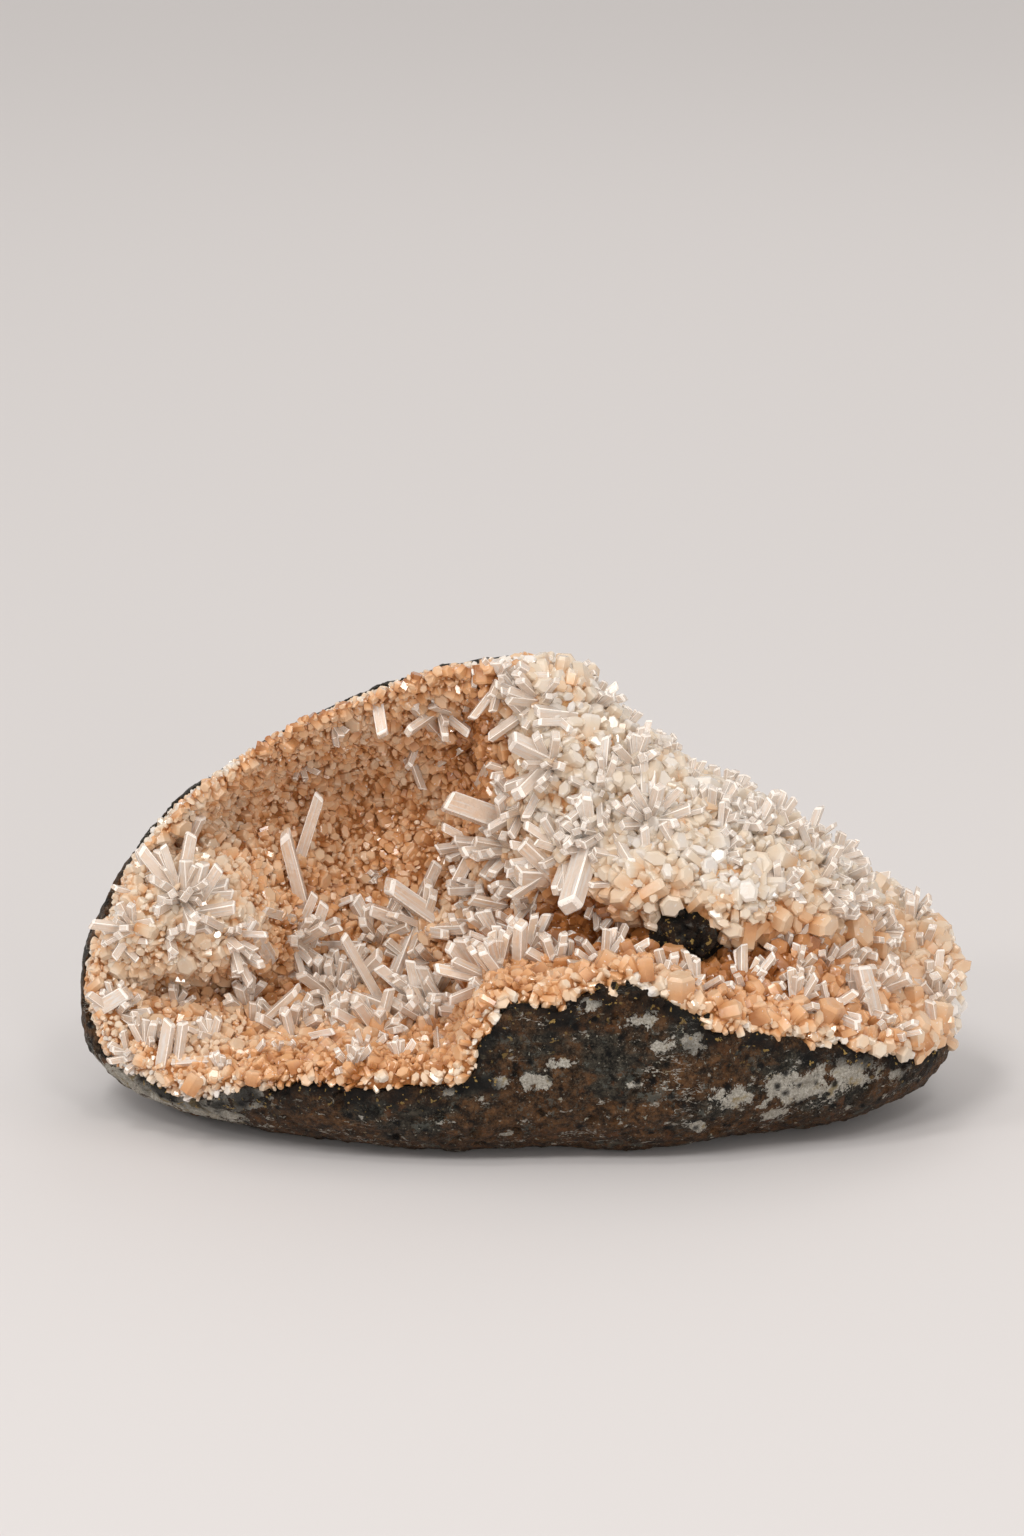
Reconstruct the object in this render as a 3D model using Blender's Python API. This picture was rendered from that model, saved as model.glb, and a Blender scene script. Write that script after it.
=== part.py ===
"""Heulandite cluster: a broken basalt nodule whose hollow is lined with peach and cream crystals.

Metres, +Z up, +X along the nodule towards its low end, open towards -Y. The nodule was an egg-shaped stone.
A break opened its front, and on the right it also took the top off. What shows inside grew on one surface,
the lining, a loft through sections drawn by hand. A crust of crystals lies between the lining and the basalt,
and long clear prisms stand on it.
"""

import math

import bmesh
import bpy
from mathutils import Matrix, Vector, noise
from mathutils.bvhtree import BVHTree

MM = 0.001

# The nodule's skin
HALF_LENGTH = 60 * MM
HALF_DEPTH = 34 * MM
WIDEST_LEVEL = 19 * MM
CROWN_RISE = 43.2 * MM
KEEL_DROP = 20 * MM
CROWN_POWER = 1.65
KEEL_POWER = 3.9
PLAN_POWER = 2.2
SKIN_AROUND = 50
SKIN_RINGS = 27
SKIN_LUMP = 0.9 * MM
SKIN_LUMP_SIZE = 17 * MM

# The crust of crystals on the basalt
GAP = 0.3 * MM
CRUST_INSET = 1.0 * MM
DRUSE_RELIEF = 1.8 * MM
DRUSE_SIZE = 2.6 * MM
FINE_STEPS = 3
COARSE_STEPS = 2
SINK_EVENINGS = 5
RELIEF_EVENINGS = 2

# Corners, as (y, z), that close a section round the open side of the stone and round its basalt side
AIR_CORNERS = ((60, 100), (-75, 100))
ROCK_CORNERS = ((75, 80), (75, -30), (-75, -30))
BLOCK_END = 75 * MM

# The bare basalt that shows through a window in the crust
WINDOW_MIDDLE = Vector((22.4, -15.8, 28.2)) * MM
WINDOW_TOWARD = Vector((0, -0.88, -0.47))
WINDOW_HALF = (4.4 * MM, 3.2 * MM)
WINDOW_RAGGED = (1.0, 0.85, 1.1, 0.9, 0.75, 1.05, 0.9, 1.15, 0.8)
WINDOW_SUNK = 1.0 * MM
WINDOW_BEHIND = 12 * MM
WINDOW_BEFORE = 6 * MM

# The view from the front that the long prisms were measured in
VIEW_DOWN = math.radians(13)
VIEW_FAR = 800 * MM
VIEW_TARGET = Vector((-1.15, 0, 46.9)) * MM
PIXEL = 120 * MM / 885
FRAME_MIDDLE = (512, 768)

# Long prisms as that view shows them, in its pixels: tip, root, width
PRISMS = (
    ((320, 794), (300, 857), 12), ((284, 832), (305, 913), 13), ((201, 816), (183, 855), 11),
    ((186, 859), (188, 893), 13), ((203, 862), (193, 897), 13), ((220, 866), (200, 898), 13),
    ((236, 907), (203, 913), 12), ((151, 924), (128, 930), 10), ((138, 958), (122, 945), 10),
    ((113, 887), (131, 892), 10), ((325, 902), (310, 945), 12), ((355, 897), (335, 905), 10),
    ((247, 922), (266, 955), 16), ((289, 938), (309, 955), 16), ((438, 862), (420, 902), 12),
    ((387, 884), (435, 918), 17), ((418, 958), (416, 928), 11), ((392, 981), (411, 932), 14),
    ((342, 935), (378, 998), 15), ((335, 1028), (314, 967), 13), ((345, 1031), (348, 998), 12),
    ((285, 1010), (292, 1038), 11), ((299, 988), (259, 1025), 12), ((421, 965), (438, 1008), 14),
    ((418, 1021), (365, 1001), 18), ((451, 915), (464, 945), 11), ((448, 945), (474, 977), 12),
    ((481, 948), (501, 975), 14), ((468, 915), (494, 932), 12), ((521, 922), (519, 965), 13),
    ((411, 703), (441, 736), 11), ((383, 736), (378, 703), 12), ((408, 768), (416, 746), 11),
    ((445, 800), (501, 820), 22), ((522, 806), (501, 812), 11), ((491, 763), (478, 789), 11),
    ((455, 885), (471, 855), 13), ((516, 875), (550, 877), 18), ((484, 879), (504, 852), 14),
    ((170, 1020), (163, 1060), 12), ((183, 1021), (178, 1058), 12), ((226, 1060), (183, 1063), 11),
    ((128, 992), (106, 1005), 14), ((475, 680), (467, 703), 11), ((496, 660), (510, 680), 14),
    ((516, 667), (531, 676), 14), ((511, 701), (530, 720), 11), ((535, 713), (566, 719), 13),
    ((510, 740), (549, 759), 20), ((516, 796), (546, 766), 15), ((641, 726), (636, 753), 10),
    ((543, 816), (556, 839), 11), ((521, 842), (553, 872), 17), ((569, 909), (589, 842), 20),
    ((593, 852), (613, 856), 11), ((632, 866), (616, 839), 12), ((579, 794), (593, 816), 11),
    ((644, 826), (646, 852), 10), ((662, 822), (676, 846), 10), ((745, 869), (785, 882), 17),
    ((802, 905), (787, 882), 11), ((850, 870), (828, 859), 11), ((856, 912), (831, 895), 14),
    ((709, 786), (719, 806), 10), ((735, 799), (747, 822), 11), ((778, 809), (789, 838), 12),
    ((798, 822), (810, 852), 12), ((613, 972), (629, 952), 11), ((861, 965), (875, 1021), 16),
    ((924, 973), (944, 986), 14), ((930, 1000), (934, 1027), 11), ((901, 985), (928, 988), 14),
    ((885, 905), (891, 922), 14), ((802, 928), (828, 928), 14),
)
PRISM_SIDES = 6
PRISM_FLATNESS = 0.75
PRISM_TAPER = 0.85
PRISM_LIFT = 0.45
PRISM_CLEAR = 1.0 * MM
PRISM_ROOT = 1.6 * MM

# The lining: for each section, its x, then (y, z) from outside the front lip, over the lip and floor, through
# the recess, over the nose and shoulder, and up the wall to the crest and out of the stone, in millimetres
SECTIONS = (
    (-63, (-45, 8), (-16, 13), (-13, 16), (-11, 19), (-10, 22),
     (-9, 25), (-8, 28), (-7, 32), (-6, 37), (-6, 66)),
    (-55, (-45, 5), (-17, 8.5), (-12, 13), (-9, 17), (-7, 20),
     (-8, 24), (-8, 29), (-4, 33), (-3, 37), (-6, 66)),
    (-47, (-45, 4), (-22, 7.5), (-16, 11.5), (-7, 14.5), (-3, 17.5),
     (-9, 23), (-8, 30), (3, 36), (-2, 43), (-6, 68)),
    (-38, (-45, 8), (-26, 10.5), (-18, 12), (-6, 13.5), (2, 16.5),
     (-4, 22), (-2, 30), (11, 38), (-1, 51), (-5, 71)),
    (-24, (-45, 11), (-29, 13), (-20, 12.5), (-7, 13), (5, 16),
     (9, 21), (14, 30), (16, 42), (-1, 58), (-5, 74)),
    (-9, (-45, 12), (-31, 14), (-21, 13.5), (-8, 14), (3, 17),
     (8, 23), (12, 32), (12, 46), (-1, 61), (-5, 76)),
    (-3, (-46, 22), (-32, 23), (-22, 23), (-9, 23), (0, 25),
     (4, 31), (4, 41), (2, 53), (-1, 61.5), (4, 76)),
    (5, (-46, 23), (-32, 24), (-22, 24), (-12, 25), (-6, 29),
     (-10, 35), (-9, 43), (-6, 53), (1, 59.5), (34, 58)),
    (14, (-46, 25.5), (-31, 26.5), (-23, 25.5), (-15, 26), (-10, 28.5),
     (-16, 33), (-13, 42), (-6, 49), (4, 51), (42, 41)),
    (27, (-46, 18), (-30, 20), (-25, 21.5), (-17, 23.5), (-12, 26),
     (-18, 30), (-16, 37), (-9, 41), (2, 42.5), (42, 33)),
    (39, (-44, 15.5), (-26, 17.5), (-20, 20), (-14, 23), (-11, 26.5),
     (-13, 30), (-9, 34), (-4, 36), (3, 35.5), (42, 27)),
    (49, (-42, 11.5), (-20, 13.5), (-13, 15), (-5, 17.5), (-2, 19.5),
     (-1, 22), (1, 24), (5, 25.5), (12, 25.5), (40, 22)),
    (57, (-38, 10), (-13, 12), (-9, 13.5), (-5, 16), (-2, 18),
     (1, 20), (4, 21.5), (8, 22), (14, 22), (40, 19)),
    (63, (-38, 10), (-11, 12), (-8, 13.5), (-5, 15), (-2, 17),
     (1, 18.5), (4, 20), (8, 20.5), (14, 20.5), (38, 19)),
)

# How thick the crust is under each of a section's points: thin where the break cut it, at the lip and crest
CRUST = tuple(depth * MM for depth in (1.3, 1.5, 3.2, 4.6, 4.6, 4.6, 4.6, 4.2, 2.6, 2.2))

MATERIALS = {
    "basalt": ((0.055, 0.042, 0.033), 0.8),
    "heulandite": ((0.78, 0.56, 0.40), 0.3),
}


def clear_scene():
    for obj in list(bpy.data.objects):
        bpy.data.objects.remove(obj)


def material(name):
    color, roughness = MATERIALS[name]
    made = bpy.data.materials.new(name)
    made.use_nodes = True
    shader = made.node_tree.nodes["Principled BSDF"]
    shader.inputs["Base Color"].default_value = (*color, 1.0)
    shader.inputs["Roughness"].default_value = roughness
    shader.inputs["Metallic"].default_value = 0.0
    return made


def add_object(name, bm, finish=None):
    mesh = bpy.data.meshes.new(name)
    bm.to_mesh(mesh)
    bm.free()
    obj = bpy.data.objects.new(name, mesh)
    bpy.context.scene.collection.objects.link(obj)
    if finish:
        mesh.materials.append(finish)
    return obj


def as_helper(obj):
    obj.hide_render = True
    obj.display_type = "WIRE"
    return obj


def boolean(obj, operation, other):
    change = obj.modifiers.new(f"{operation.lower()} {other.name}", "BOOLEAN")
    change.operation = operation
    change.object = other
    change.use_self = operation == "UNION"
    return change


def smooth_through(points, steps):
    """A curve through the points, with this many steps between each two."""
    ends = [points[0] * 2 - points[1], *points, points[-1] * 2 - points[-2]]
    curve = []
    for a, b, c, d in zip(ends, ends[1:], ends[2:], ends[3:]):
        for step in range(steps):
            t = step / steps
            squared = a * 2 - b * 5 + c * 4 - d
            cubed = b * 3 - a - c * 3 + d
            curve.append((b * 2 + (c - a) * t + squared * t**2 + cubed * t**3) / 2)
    return [*curve, points[-1].copy()]


def lining(steps):
    """The lining as rows of points. A row runs up the stone, and the rows follow each other along +X."""
    sections = [smooth_through([Vector((s[0], *p)) * MM for p in s[1:]], steps) for s in SECTIONS]
    lines = [smooth_through(list(line), steps) for line in zip(*sections)]
    return [list(row) for row in zip(*lines)]


def normals_of(rows):
    """The direction out of the stone at each point of the lining."""
    last_row, last_point = len(rows) - 1, len(rows[0]) - 1
    normals = []
    for i, row in enumerate(rows):
        line = []
        for j in range(len(row)):
            along = rows[min(i + 1, last_row)][j] - rows[max(i - 1, 0)][j]
            up = row[min(j + 1, last_point)] - row[max(j - 1, 0)]
            line.append(along.cross(up).normalized())
        normals.append(line)
    return normals


def evened(directions, times):
    """Each direction turned towards its neighbours' mean, this many times. The end rows' stay upright."""
    last_row, last_point = len(directions) - 1, len(directions[0]) - 1
    for _ in range(times):
        directions = [
            [
                (
                    line[j]
                    + directions[max(i - 1, 0)][j]
                    + directions[min(i + 1, last_row)][j]
                    + line[max(j - 1, 0)]
                    + line[min(j + 1, last_point)]
                )
                * Vector((0 if i in (0, last_row) else 1, 1, 1))
                for j in range(len(line))
            ]
            for i, line in enumerate(directions)
        ]
        directions = [[direction.normalized() for direction in line] for line in directions]
    return directions


def moved_out(rows, distance):
    """The rows moved out of the stone by distance, a number or a function of the point."""
    far = distance if callable(distance) else lambda point: distance
    return [
        [point + normal * far(point) for point, normal in zip(row, line)]
        for row, line in zip(rows, evened(normals_of(rows), RELIEF_EVENINGS))
    ]


def sunk(rows, steps):
    """The rows moved into the stone by the crust's thickness, the right way for rows with this many steps.

    The directions are evened, so that no sharp nose folds over itself.
    """
    directions = evened(normals_of(rows), SINK_EVENINGS)
    depths = [
        shallow + (deep - shallow) * step / steps
        for shallow, deep in zip(CRUST, CRUST[1:])
        for step in range(steps)
    ]
    depths.append(CRUST[-1])
    return [
        [point - direction * depth for point, direction, depth in zip(row, line, depths)]
        for row, line in zip(rows, directions)
    ]


def druse_relief(point):
    """How far a blocky crystal stands out: each by its own height, and none past the nodule's ends."""
    return DRUSE_RELIEF * noise.cell(point / DRUSE_SIZE) if abs(point.x) < HALF_LENGTH else 0


def block_beside(name, rows, corners):
    """The closed solid on one side of the rows, where each row is closed through the corners."""
    bm = bmesh.new()
    first = [Vector((-BLOCK_END, point.y, point.z)) for point in rows[0]]
    last = [Vector((BLOCK_END, point.y, point.z)) for point in rows[-1]]
    rows = [first, *rows, last]
    rings = []
    for row in rows:
        outside = [Vector((row[-1].x, y * MM, z * MM)) for y, z in corners]
        rings.append([bm.verts.new(point) for point in (*row, *outside)])
    for ring, following in zip(rings, rings[1:]):
        for a, b, c, d in zip(ring, following, (*following[1:], following[0]), (*ring[1:], ring[0])):
            bm.faces.new((a, b, c, d))
    bm.faces.new(rings[0])
    bm.faces.new(rings[-1])
    bmesh.ops.triangulate(bm, faces=bm.faces[:])
    bmesh.ops.recalc_face_normals(bm, faces=bm.faces[:])
    return as_helper(add_object(name, bm))


def window_block(name, grow, near, far):
    """The ragged bar through the window, from near in front of its middle to far behind it."""
    toward = WINDOW_TOWARD.normalized()
    across = Vector((1, 0, 0))
    up = toward.cross(across)
    outline = []
    for side, ragged in enumerate(WINDOW_RAGGED):
        turn = math.tau * side / len(WINDOW_RAGGED)
        outline.append(
            across * math.cos(turn) * (WINDOW_HALF[0] * ragged + grow)
            + up * math.sin(turn) * (WINDOW_HALF[1] * ragged + grow)
        )
    bm = bmesh.new()
    ends = [
        [bm.verts.new(WINDOW_MIDDLE + toward * reach + point) for point in outline] for reach in (near, -far)
    ]
    for end in ends:
        bm.faces.new(end)
    for a, b, c, d in zip(ends[0], (*ends[0][1:], ends[0][0]), (*ends[1][1:], ends[1][0]), ends[1]):
        bm.faces.new((a, b, c, d))
    bmesh.ops.recalc_face_normals(bm, faces=bm.faces[:])
    return as_helper(add_object(name, bm))


def within_skin(point):
    """Whether the nodule reaches this far, its lumps left out."""
    plan = (abs(point.x) / HALF_LENGTH) ** PLAN_POWER + (abs(point.y) / HALF_DEPTH) ** PLAN_POWER
    rise = point.z - WIDEST_LEVEL
    power, height = (CROWN_POWER, CROWN_RISE) if rise > 0 else (KEEL_POWER, KEEL_DROP)
    return plan ** (power / PLAN_POWER) + (abs(rise) / height) ** power < 1


def surface_of(rows):
    """The lining within the nodule as a surface that a line of sight can meet."""
    width = len(rows[0])
    points = [point for row in rows for point in row]
    squares = [
        (i * width + j, (i + 1) * width + j, (i + 1) * width + j + 1, i * width + j + 1)
        for i in range(len(rows) - 1)
        for j in range(width - 1)
    ]
    inside = [square for square in squares if within_skin(sum((points[k] for k in square), Vector()) / 4)]
    return BVHTree.FromPolygons(points, inside)


def line_of_sight(pixel):
    """The viewer's eye, and the direction in which it sees this pixel."""
    eye = VIEW_TARGET + Vector((0, -math.cos(VIEW_DOWN), math.sin(VIEW_DOWN))) * VIEW_FAR
    right = (pixel[0] - FRAME_MIDDLE[0]) * PIXEL
    down = (pixel[1] - FRAME_MIDDLE[1]) * PIXEL
    seen = VIEW_TARGET + Vector((right, -down * math.sin(VIEW_DOWN), -down * math.cos(VIEW_DOWN)))
    return eye, (seen - eye).normalized()


def long_prisms(name, surface):
    """Every long prism, with its root in the crust and its tip held clear of it, towards the viewer."""
    bm = bmesh.new()
    for tip_seen, root_seen, width_seen in PRISMS:
        eye, sight = line_of_sight(root_seen)
        root, normal, _, root_far = surface.ray_cast(eye, sight)
        eye, sight = line_of_sight(tip_seen)
        seen_length = math.dist(tip_seen, root_seen) * PIXEL
        tip_far = root_far - seen_length * PRISM_LIFT
        behind = surface.ray_cast(eye, sight)[3]
        if behind is not None:
            tip_far = min(tip_far, behind - PRISM_CLEAR)
        tip = eye + sight * tip_far
        axis = (tip - root).normalized()
        start = root - axis * PRISM_ROOT
        length = (tip - start).length
        radius = width_seen * PIXEL / 2
        place = Matrix.Translation((start + tip) / 2) @ axis.to_track_quat("Z", "Y").to_matrix().to_4x4()
        bmesh.ops.create_cone(
            bm,
            cap_ends=True,
            segments=PRISM_SIDES,
            radius1=radius,
            radius2=radius * PRISM_TAPER,
            depth=length,
            matrix=place @ Matrix.Diagonal((1, PRISM_FLATNESS, 1, 1)),
        )
    return as_helper(add_object(name, bm))


def skin_point(direction):
    """Where the nodule's skin lies in this direction from its middle."""
    x, y, z = direction
    flat = math.hypot(x, y)
    if flat > 0:
        swell = flat / (abs(x) ** PLAN_POWER + abs(y) ** PLAN_POWER) ** (1 / PLAN_POWER)
        x, y = x * swell, y * swell
    power, height = (CROWN_POWER, CROWN_RISE) if z > 0 else (KEEL_POWER, KEEL_DROP)
    grow = (flat**power + abs(z) ** power) ** (-1 / power)
    point = Vector((x * grow * HALF_LENGTH, y * grow * HALF_DEPTH, z * grow * height + WIDEST_LEVEL))
    lump = noise.noise(point / SKIN_LUMP_SIZE) * SKIN_LUMP
    return point + direction * lump


def nodule(name, finish, inset=0):
    """The whole nodule before it broke, or what lies deeper than inset in it, ground flat where it rests."""
    bm = bmesh.new()
    bmesh.ops.create_uvsphere(bm, u_segments=SKIN_AROUND, v_segments=SKIN_RINGS, radius=1)
    for vert in bm.verts:
        direction = vert.co.normalized()
        vert.co = skin_point(direction) - direction * inset
    cut = bmesh.ops.bisect_plane(
        bm,
        geom=bm.verts[:] + bm.edges[:] + bm.faces[:],
        plane_co=(0, 0, 0),
        plane_no=(0, 0, -1),
        clear_outer=True,
    )
    rim = [e for e in cut["geom_cut"] if isinstance(e, bmesh.types.BMEdge)]
    bmesh.ops.contextual_create(bm, geom=rim)
    bmesh.ops.recalc_face_normals(bm, faces=bm.faces[:])
    return add_object(name, bm, finish)


def main():
    clear_scene()
    basalt, heulandite = material("basalt"), material("heulandite")

    rock_face = sunk(lining(COARSE_STEPS), COARSE_STEPS)
    matrix = nodule("basalt_matrix", basalt)
    boolean(matrix, "DIFFERENCE", block_beside("open_side", rock_face, AIR_CORNERS))
    boolean(matrix, "UNION", window_block("window_plug", 0, -WINDOW_SUNK, WINDOW_BEHIND))

    druse = moved_out(lining(FINE_STEPS), druse_relief)
    crust = nodule("heulandite_crust", heulandite, CRUST_INSET)
    boolean(crust, "DIFFERENCE", block_beside("air", druse, AIR_CORNERS))
    boolean(crust, "UNION", long_prisms("long_prisms", surface_of(druse)))
    boolean(crust, "DIFFERENCE", block_beside("rock", moved_out(rock_face, GAP), ROCK_CORNERS))
    boolean(crust, "DIFFERENCE", window_block("window_hole", GAP, WINDOW_BEFORE, WINDOW_BEHIND))


main()
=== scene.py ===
"""The looks of a heulandite cluster: a broken basalt nodule with its hollow full of crystals.

The stone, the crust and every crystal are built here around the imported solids, in metres. The hollow's
lining is the same loft through the same sections as in the solids. Small blocky crystals and long clear
prisms grow on it.
"""

import math
import random

import bmesh
import bpy
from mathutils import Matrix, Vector, noise
from mathutils.bvhtree import BVHTree
from mathutils.kdtree import KDTree


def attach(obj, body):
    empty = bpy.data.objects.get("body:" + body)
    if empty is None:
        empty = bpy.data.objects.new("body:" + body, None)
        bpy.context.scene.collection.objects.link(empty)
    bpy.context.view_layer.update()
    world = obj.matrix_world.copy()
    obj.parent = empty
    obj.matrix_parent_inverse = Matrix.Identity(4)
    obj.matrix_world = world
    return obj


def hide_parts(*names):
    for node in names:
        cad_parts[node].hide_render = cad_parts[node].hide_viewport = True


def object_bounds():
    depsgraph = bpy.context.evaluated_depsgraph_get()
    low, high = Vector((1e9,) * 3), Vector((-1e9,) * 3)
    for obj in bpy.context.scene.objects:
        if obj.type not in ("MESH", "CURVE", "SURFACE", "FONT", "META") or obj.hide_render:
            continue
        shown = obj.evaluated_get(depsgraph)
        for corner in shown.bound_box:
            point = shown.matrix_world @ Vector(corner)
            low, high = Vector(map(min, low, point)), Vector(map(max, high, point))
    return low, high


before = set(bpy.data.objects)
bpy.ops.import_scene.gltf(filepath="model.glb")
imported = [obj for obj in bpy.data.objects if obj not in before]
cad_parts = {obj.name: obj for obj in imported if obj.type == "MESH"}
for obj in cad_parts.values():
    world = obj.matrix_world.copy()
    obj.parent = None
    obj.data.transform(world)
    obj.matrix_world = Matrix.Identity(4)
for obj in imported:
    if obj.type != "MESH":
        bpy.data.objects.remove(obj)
cad_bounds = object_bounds()

MM = 0.001

# The nodule's skin, as in the solids
HALF_LENGTH = 60 * MM
HALF_DEPTH = 34 * MM
WIDEST_LEVEL = 19 * MM
CROWN_RISE = 43.2 * MM
KEEL_DROP = 20 * MM
CROWN_POWER = 1.65
KEEL_POWER = 3.9
PLAN_POWER = 2.2
SKIN_LUMP = 0.9 * MM
SKIN_LUMP_SIZE = 17 * MM
SKIN_FINENESS = 7

# The lining's sections in millimetres, as in the solids: x, then (y, z) from outside the front lip, over
# the lip and floor, through the recess, over the nose and shoulder, up the wall to the crest, out of the
# stone
SECTIONS = (
    (-63, (-45, 8), (-16, 13), (-13, 16), (-11, 19), (-10, 22),
     (-9, 25), (-8, 28), (-7, 32), (-6, 37), (-6, 66)),
    (-55, (-45, 5), (-17, 8.5), (-12, 13), (-9, 17), (-7, 20),
     (-8, 24), (-8, 29), (-4, 33), (-3, 37), (-6, 66)),
    (-47, (-45, 4), (-22, 7.5), (-16, 11.5), (-7, 14.5), (-3, 17.5),
     (-9, 23), (-8, 30), (3, 36), (-2, 43), (-6, 68)),
    (-38, (-45, 8), (-26, 10.5), (-18, 12), (-6, 13.5), (2, 16.5),
     (-4, 22), (-2, 30), (11, 38), (-1, 51), (-5, 71)),
    (-24, (-45, 11), (-29, 13), (-20, 12.5), (-7, 13), (5, 16),
     (9, 21), (14, 30), (16, 42), (-1, 58), (-5, 74)),
    (-9, (-45, 12), (-31, 14), (-21, 13.5), (-8, 14), (3, 17),
     (8, 23), (12, 32), (12, 46), (-1, 61), (-5, 76)),
    (-3, (-46, 22), (-32, 23), (-22, 23), (-9, 23), (0, 25),
     (4, 31), (4, 41), (2, 53), (-1, 61.5), (4, 76)),
    (5, (-46, 23), (-32, 24), (-22, 24), (-12, 25), (-6, 29),
     (-10, 35), (-9, 43), (-6, 53), (1, 59.5), (34, 58)),
    (14, (-46, 25.5), (-31, 26.5), (-23, 25.5), (-15, 26), (-10, 28.5),
     (-16, 33), (-13, 42), (-6, 49), (4, 51), (42, 41)),
    (27, (-46, 18), (-30, 20), (-25, 21.5), (-17, 23.5), (-12, 26),
     (-18, 30), (-16, 37), (-9, 41), (2, 42.5), (42, 33)),
    (39, (-44, 15.5), (-26, 17.5), (-20, 20), (-14, 23), (-11, 26.5),
     (-13, 30), (-9, 34), (-4, 36), (3, 35.5), (42, 27)),
    (49, (-42, 11.5), (-20, 13.5), (-13, 15), (-5, 17.5), (-2, 19.5),
     (-1, 22), (1, 24), (5, 25.5), (12, 25.5), (40, 22)),
    (57, (-38, 10), (-13, 12), (-9, 13.5), (-5, 16), (-2, 18),
     (1, 20), (4, 21.5), (8, 22), (14, 22), (40, 19)),
    (63, (-38, 10), (-11, 12), (-8, 13.5), (-5, 15), (-2, 17),
     (1, 18.5), (4, 20), (8, 20.5), (14, 20.5), (38, 19)),
)
CRUST = tuple(depth * MM for depth in (1.3, 1.5, 3.2, 4.6, 4.6, 4.6, 4.6, 4.2, 2.6, 2.2))
CRUST_INSET = 1.0 * MM
STEPS = 8
FACE_STEPS = 2
SINK_EVENINGS = 5
LUMP_EVENINGS = 40
STONE_GRAIN = 0.6 * MM
CRUST_GRAIN = 0.6 * MM
AIR_CORNERS = ((60, 100), (-75, 100))
ROCK_CORNERS = ((75, 80), (75, -30), (-75, -30))
BLOCK_END = 75 * MM

# The bare basalt that shows through a window in the crust, how far round it the crystals stop, and its knob
WINDOW_MIDDLE = Vector((22.4, -15.8, 28.2)) * MM
WINDOW_REACH = 5.2 * MM
WINDOW_BARE = 1.05 * WINDOW_REACH
WINDOW_LOWEST = 24 * MM
WINDOW_CLEAR = 1.7 * WINDOW_REACH
WINDOW_DEPTH = 1.2
WINDOW_BACK = 1.4 * MM

# The photograph's view
VIEW_DOWN = math.radians(13)
VIEW_FAR = 800 * MM
VIEW_TARGET = Vector((-1.15, 0, 46.9)) * MM
VIEW_EYE = VIEW_TARGET + Vector((0, -math.cos(VIEW_DOWN), math.sin(VIEW_DOWN))) * VIEW_FAR
PIXEL = 120 * MM / 885
FRAME_MIDDLE = (512, 768)
FRAME_HEIGHT_PIXELS = 1536
SENSOR = 36


class Graph:
    """A node tree, and the one way that nodes are added to it."""

    def __init__(self, tree):
        self.tree = tree

    def add(self, kind, settings=None, inputs=None):
        """A node of this kind, with its settings made first and then its sockets given values or links."""
        node = self.tree.nodes.new(kind)
        for name, value in (settings or {}).items():
            if name == "stops":
                ramp = node.color_ramp
                while len(ramp.elements) < len(value):
                    ramp.elements.new(1.0)
                for element, (position, color) in zip(ramp.elements, value):
                    element.position = position
                    element.color = (*color, 1.0)
            else:
                setattr(node, name, value)
        for name, value in (inputs or {}).items():
            socket = node.inputs[name]
            if isinstance(value, Number):
                value = value.socket
            if isinstance(value, bpy.types.NodeSocket):
                self.tree.links.new(value, socket)
            else:
                socket.default_value = value
        return node

    def number(self, kind, output, settings=None, inputs=None):
        return Number(self, self.add(kind, settings, inputs).outputs[output])

    def carried(self, name, kind="FLOAT"):
        """What a mesh carries under this name."""
        node = self.add("GeometryNodeInputNamedAttribute", {"data_type": kind}, {"Name": name})
        return node.outputs["Attribute"]

    def random(self, low, high, seed):
        """A number by chance for each point."""
        inputs = {2: low, 3: high, "Seed": seed}
        return self.number("FunctionNodeRandomValue", 1, {"data_type": "FLOAT"}, inputs)

    def random_vector(self, low, high, seed):
        """Three numbers by chance for each point."""
        inputs = {0: low, 1: high, "Seed": seed}
        return self.add("FunctionNodeRandomValue", {"data_type": "FLOAT_VECTOR"}, inputs).outputs[0]

    def turned(self, rotation, turn):
        """The rotation, turned further about its own axes."""
        settings = {"rotation_space": "LOCAL"}
        return self.add("FunctionNodeRotateRotation", settings, {0: rotation, 1: turn}).outputs[0]

    def finished(self, geometry, finish, inputs=None):
        """The geometry with this finish: all over, or where a selection among the inputs says."""
        inputs = {"Geometry": geometry, "Material": finish} | (inputs or {})
        return self.add("GeometryNodeSetMaterial", None, inputs).outputs[0]


class Number:
    """A number that a node gives out. Sums, products and quotients of it add Math nodes."""

    def __init__(self, graph, socket):
        self.graph = graph
        self.socket = socket

    def math(self, operation, first, second):
        return self.graph.number("ShaderNodeMath", 0, {"operation": operation}, {0: first, 1: second})

    def __add__(self, other):
        return self.math("ADD", self, other)

    __radd__ = __add__

    def __sub__(self, other):
        return self.math("SUBTRACT", self, other)

    def __rsub__(self, other):
        return self.math("SUBTRACT", other, self)

    def __mul__(self, other):
        return self.math("MULTIPLY", self, other)

    __rmul__ = __mul__

    def at_most(self, other):
        return self.math("MINIMUM", self, other)

    def at_least(self, other):
        return self.math("MAXIMUM", self, other)

    def rising(self, low, high):
        """0 below low and 1 above high, with a smooth rise between them."""
        settings = {"interpolation_type": "SMOOTHSTEP"}
        inputs = {"Value": self, "From Min": low, "From Max": high, "To Min": 0.0, "To Max": 1.0}
        return self.graph.number("ShaderNodeMapRange", "Result", settings, inputs)


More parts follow.
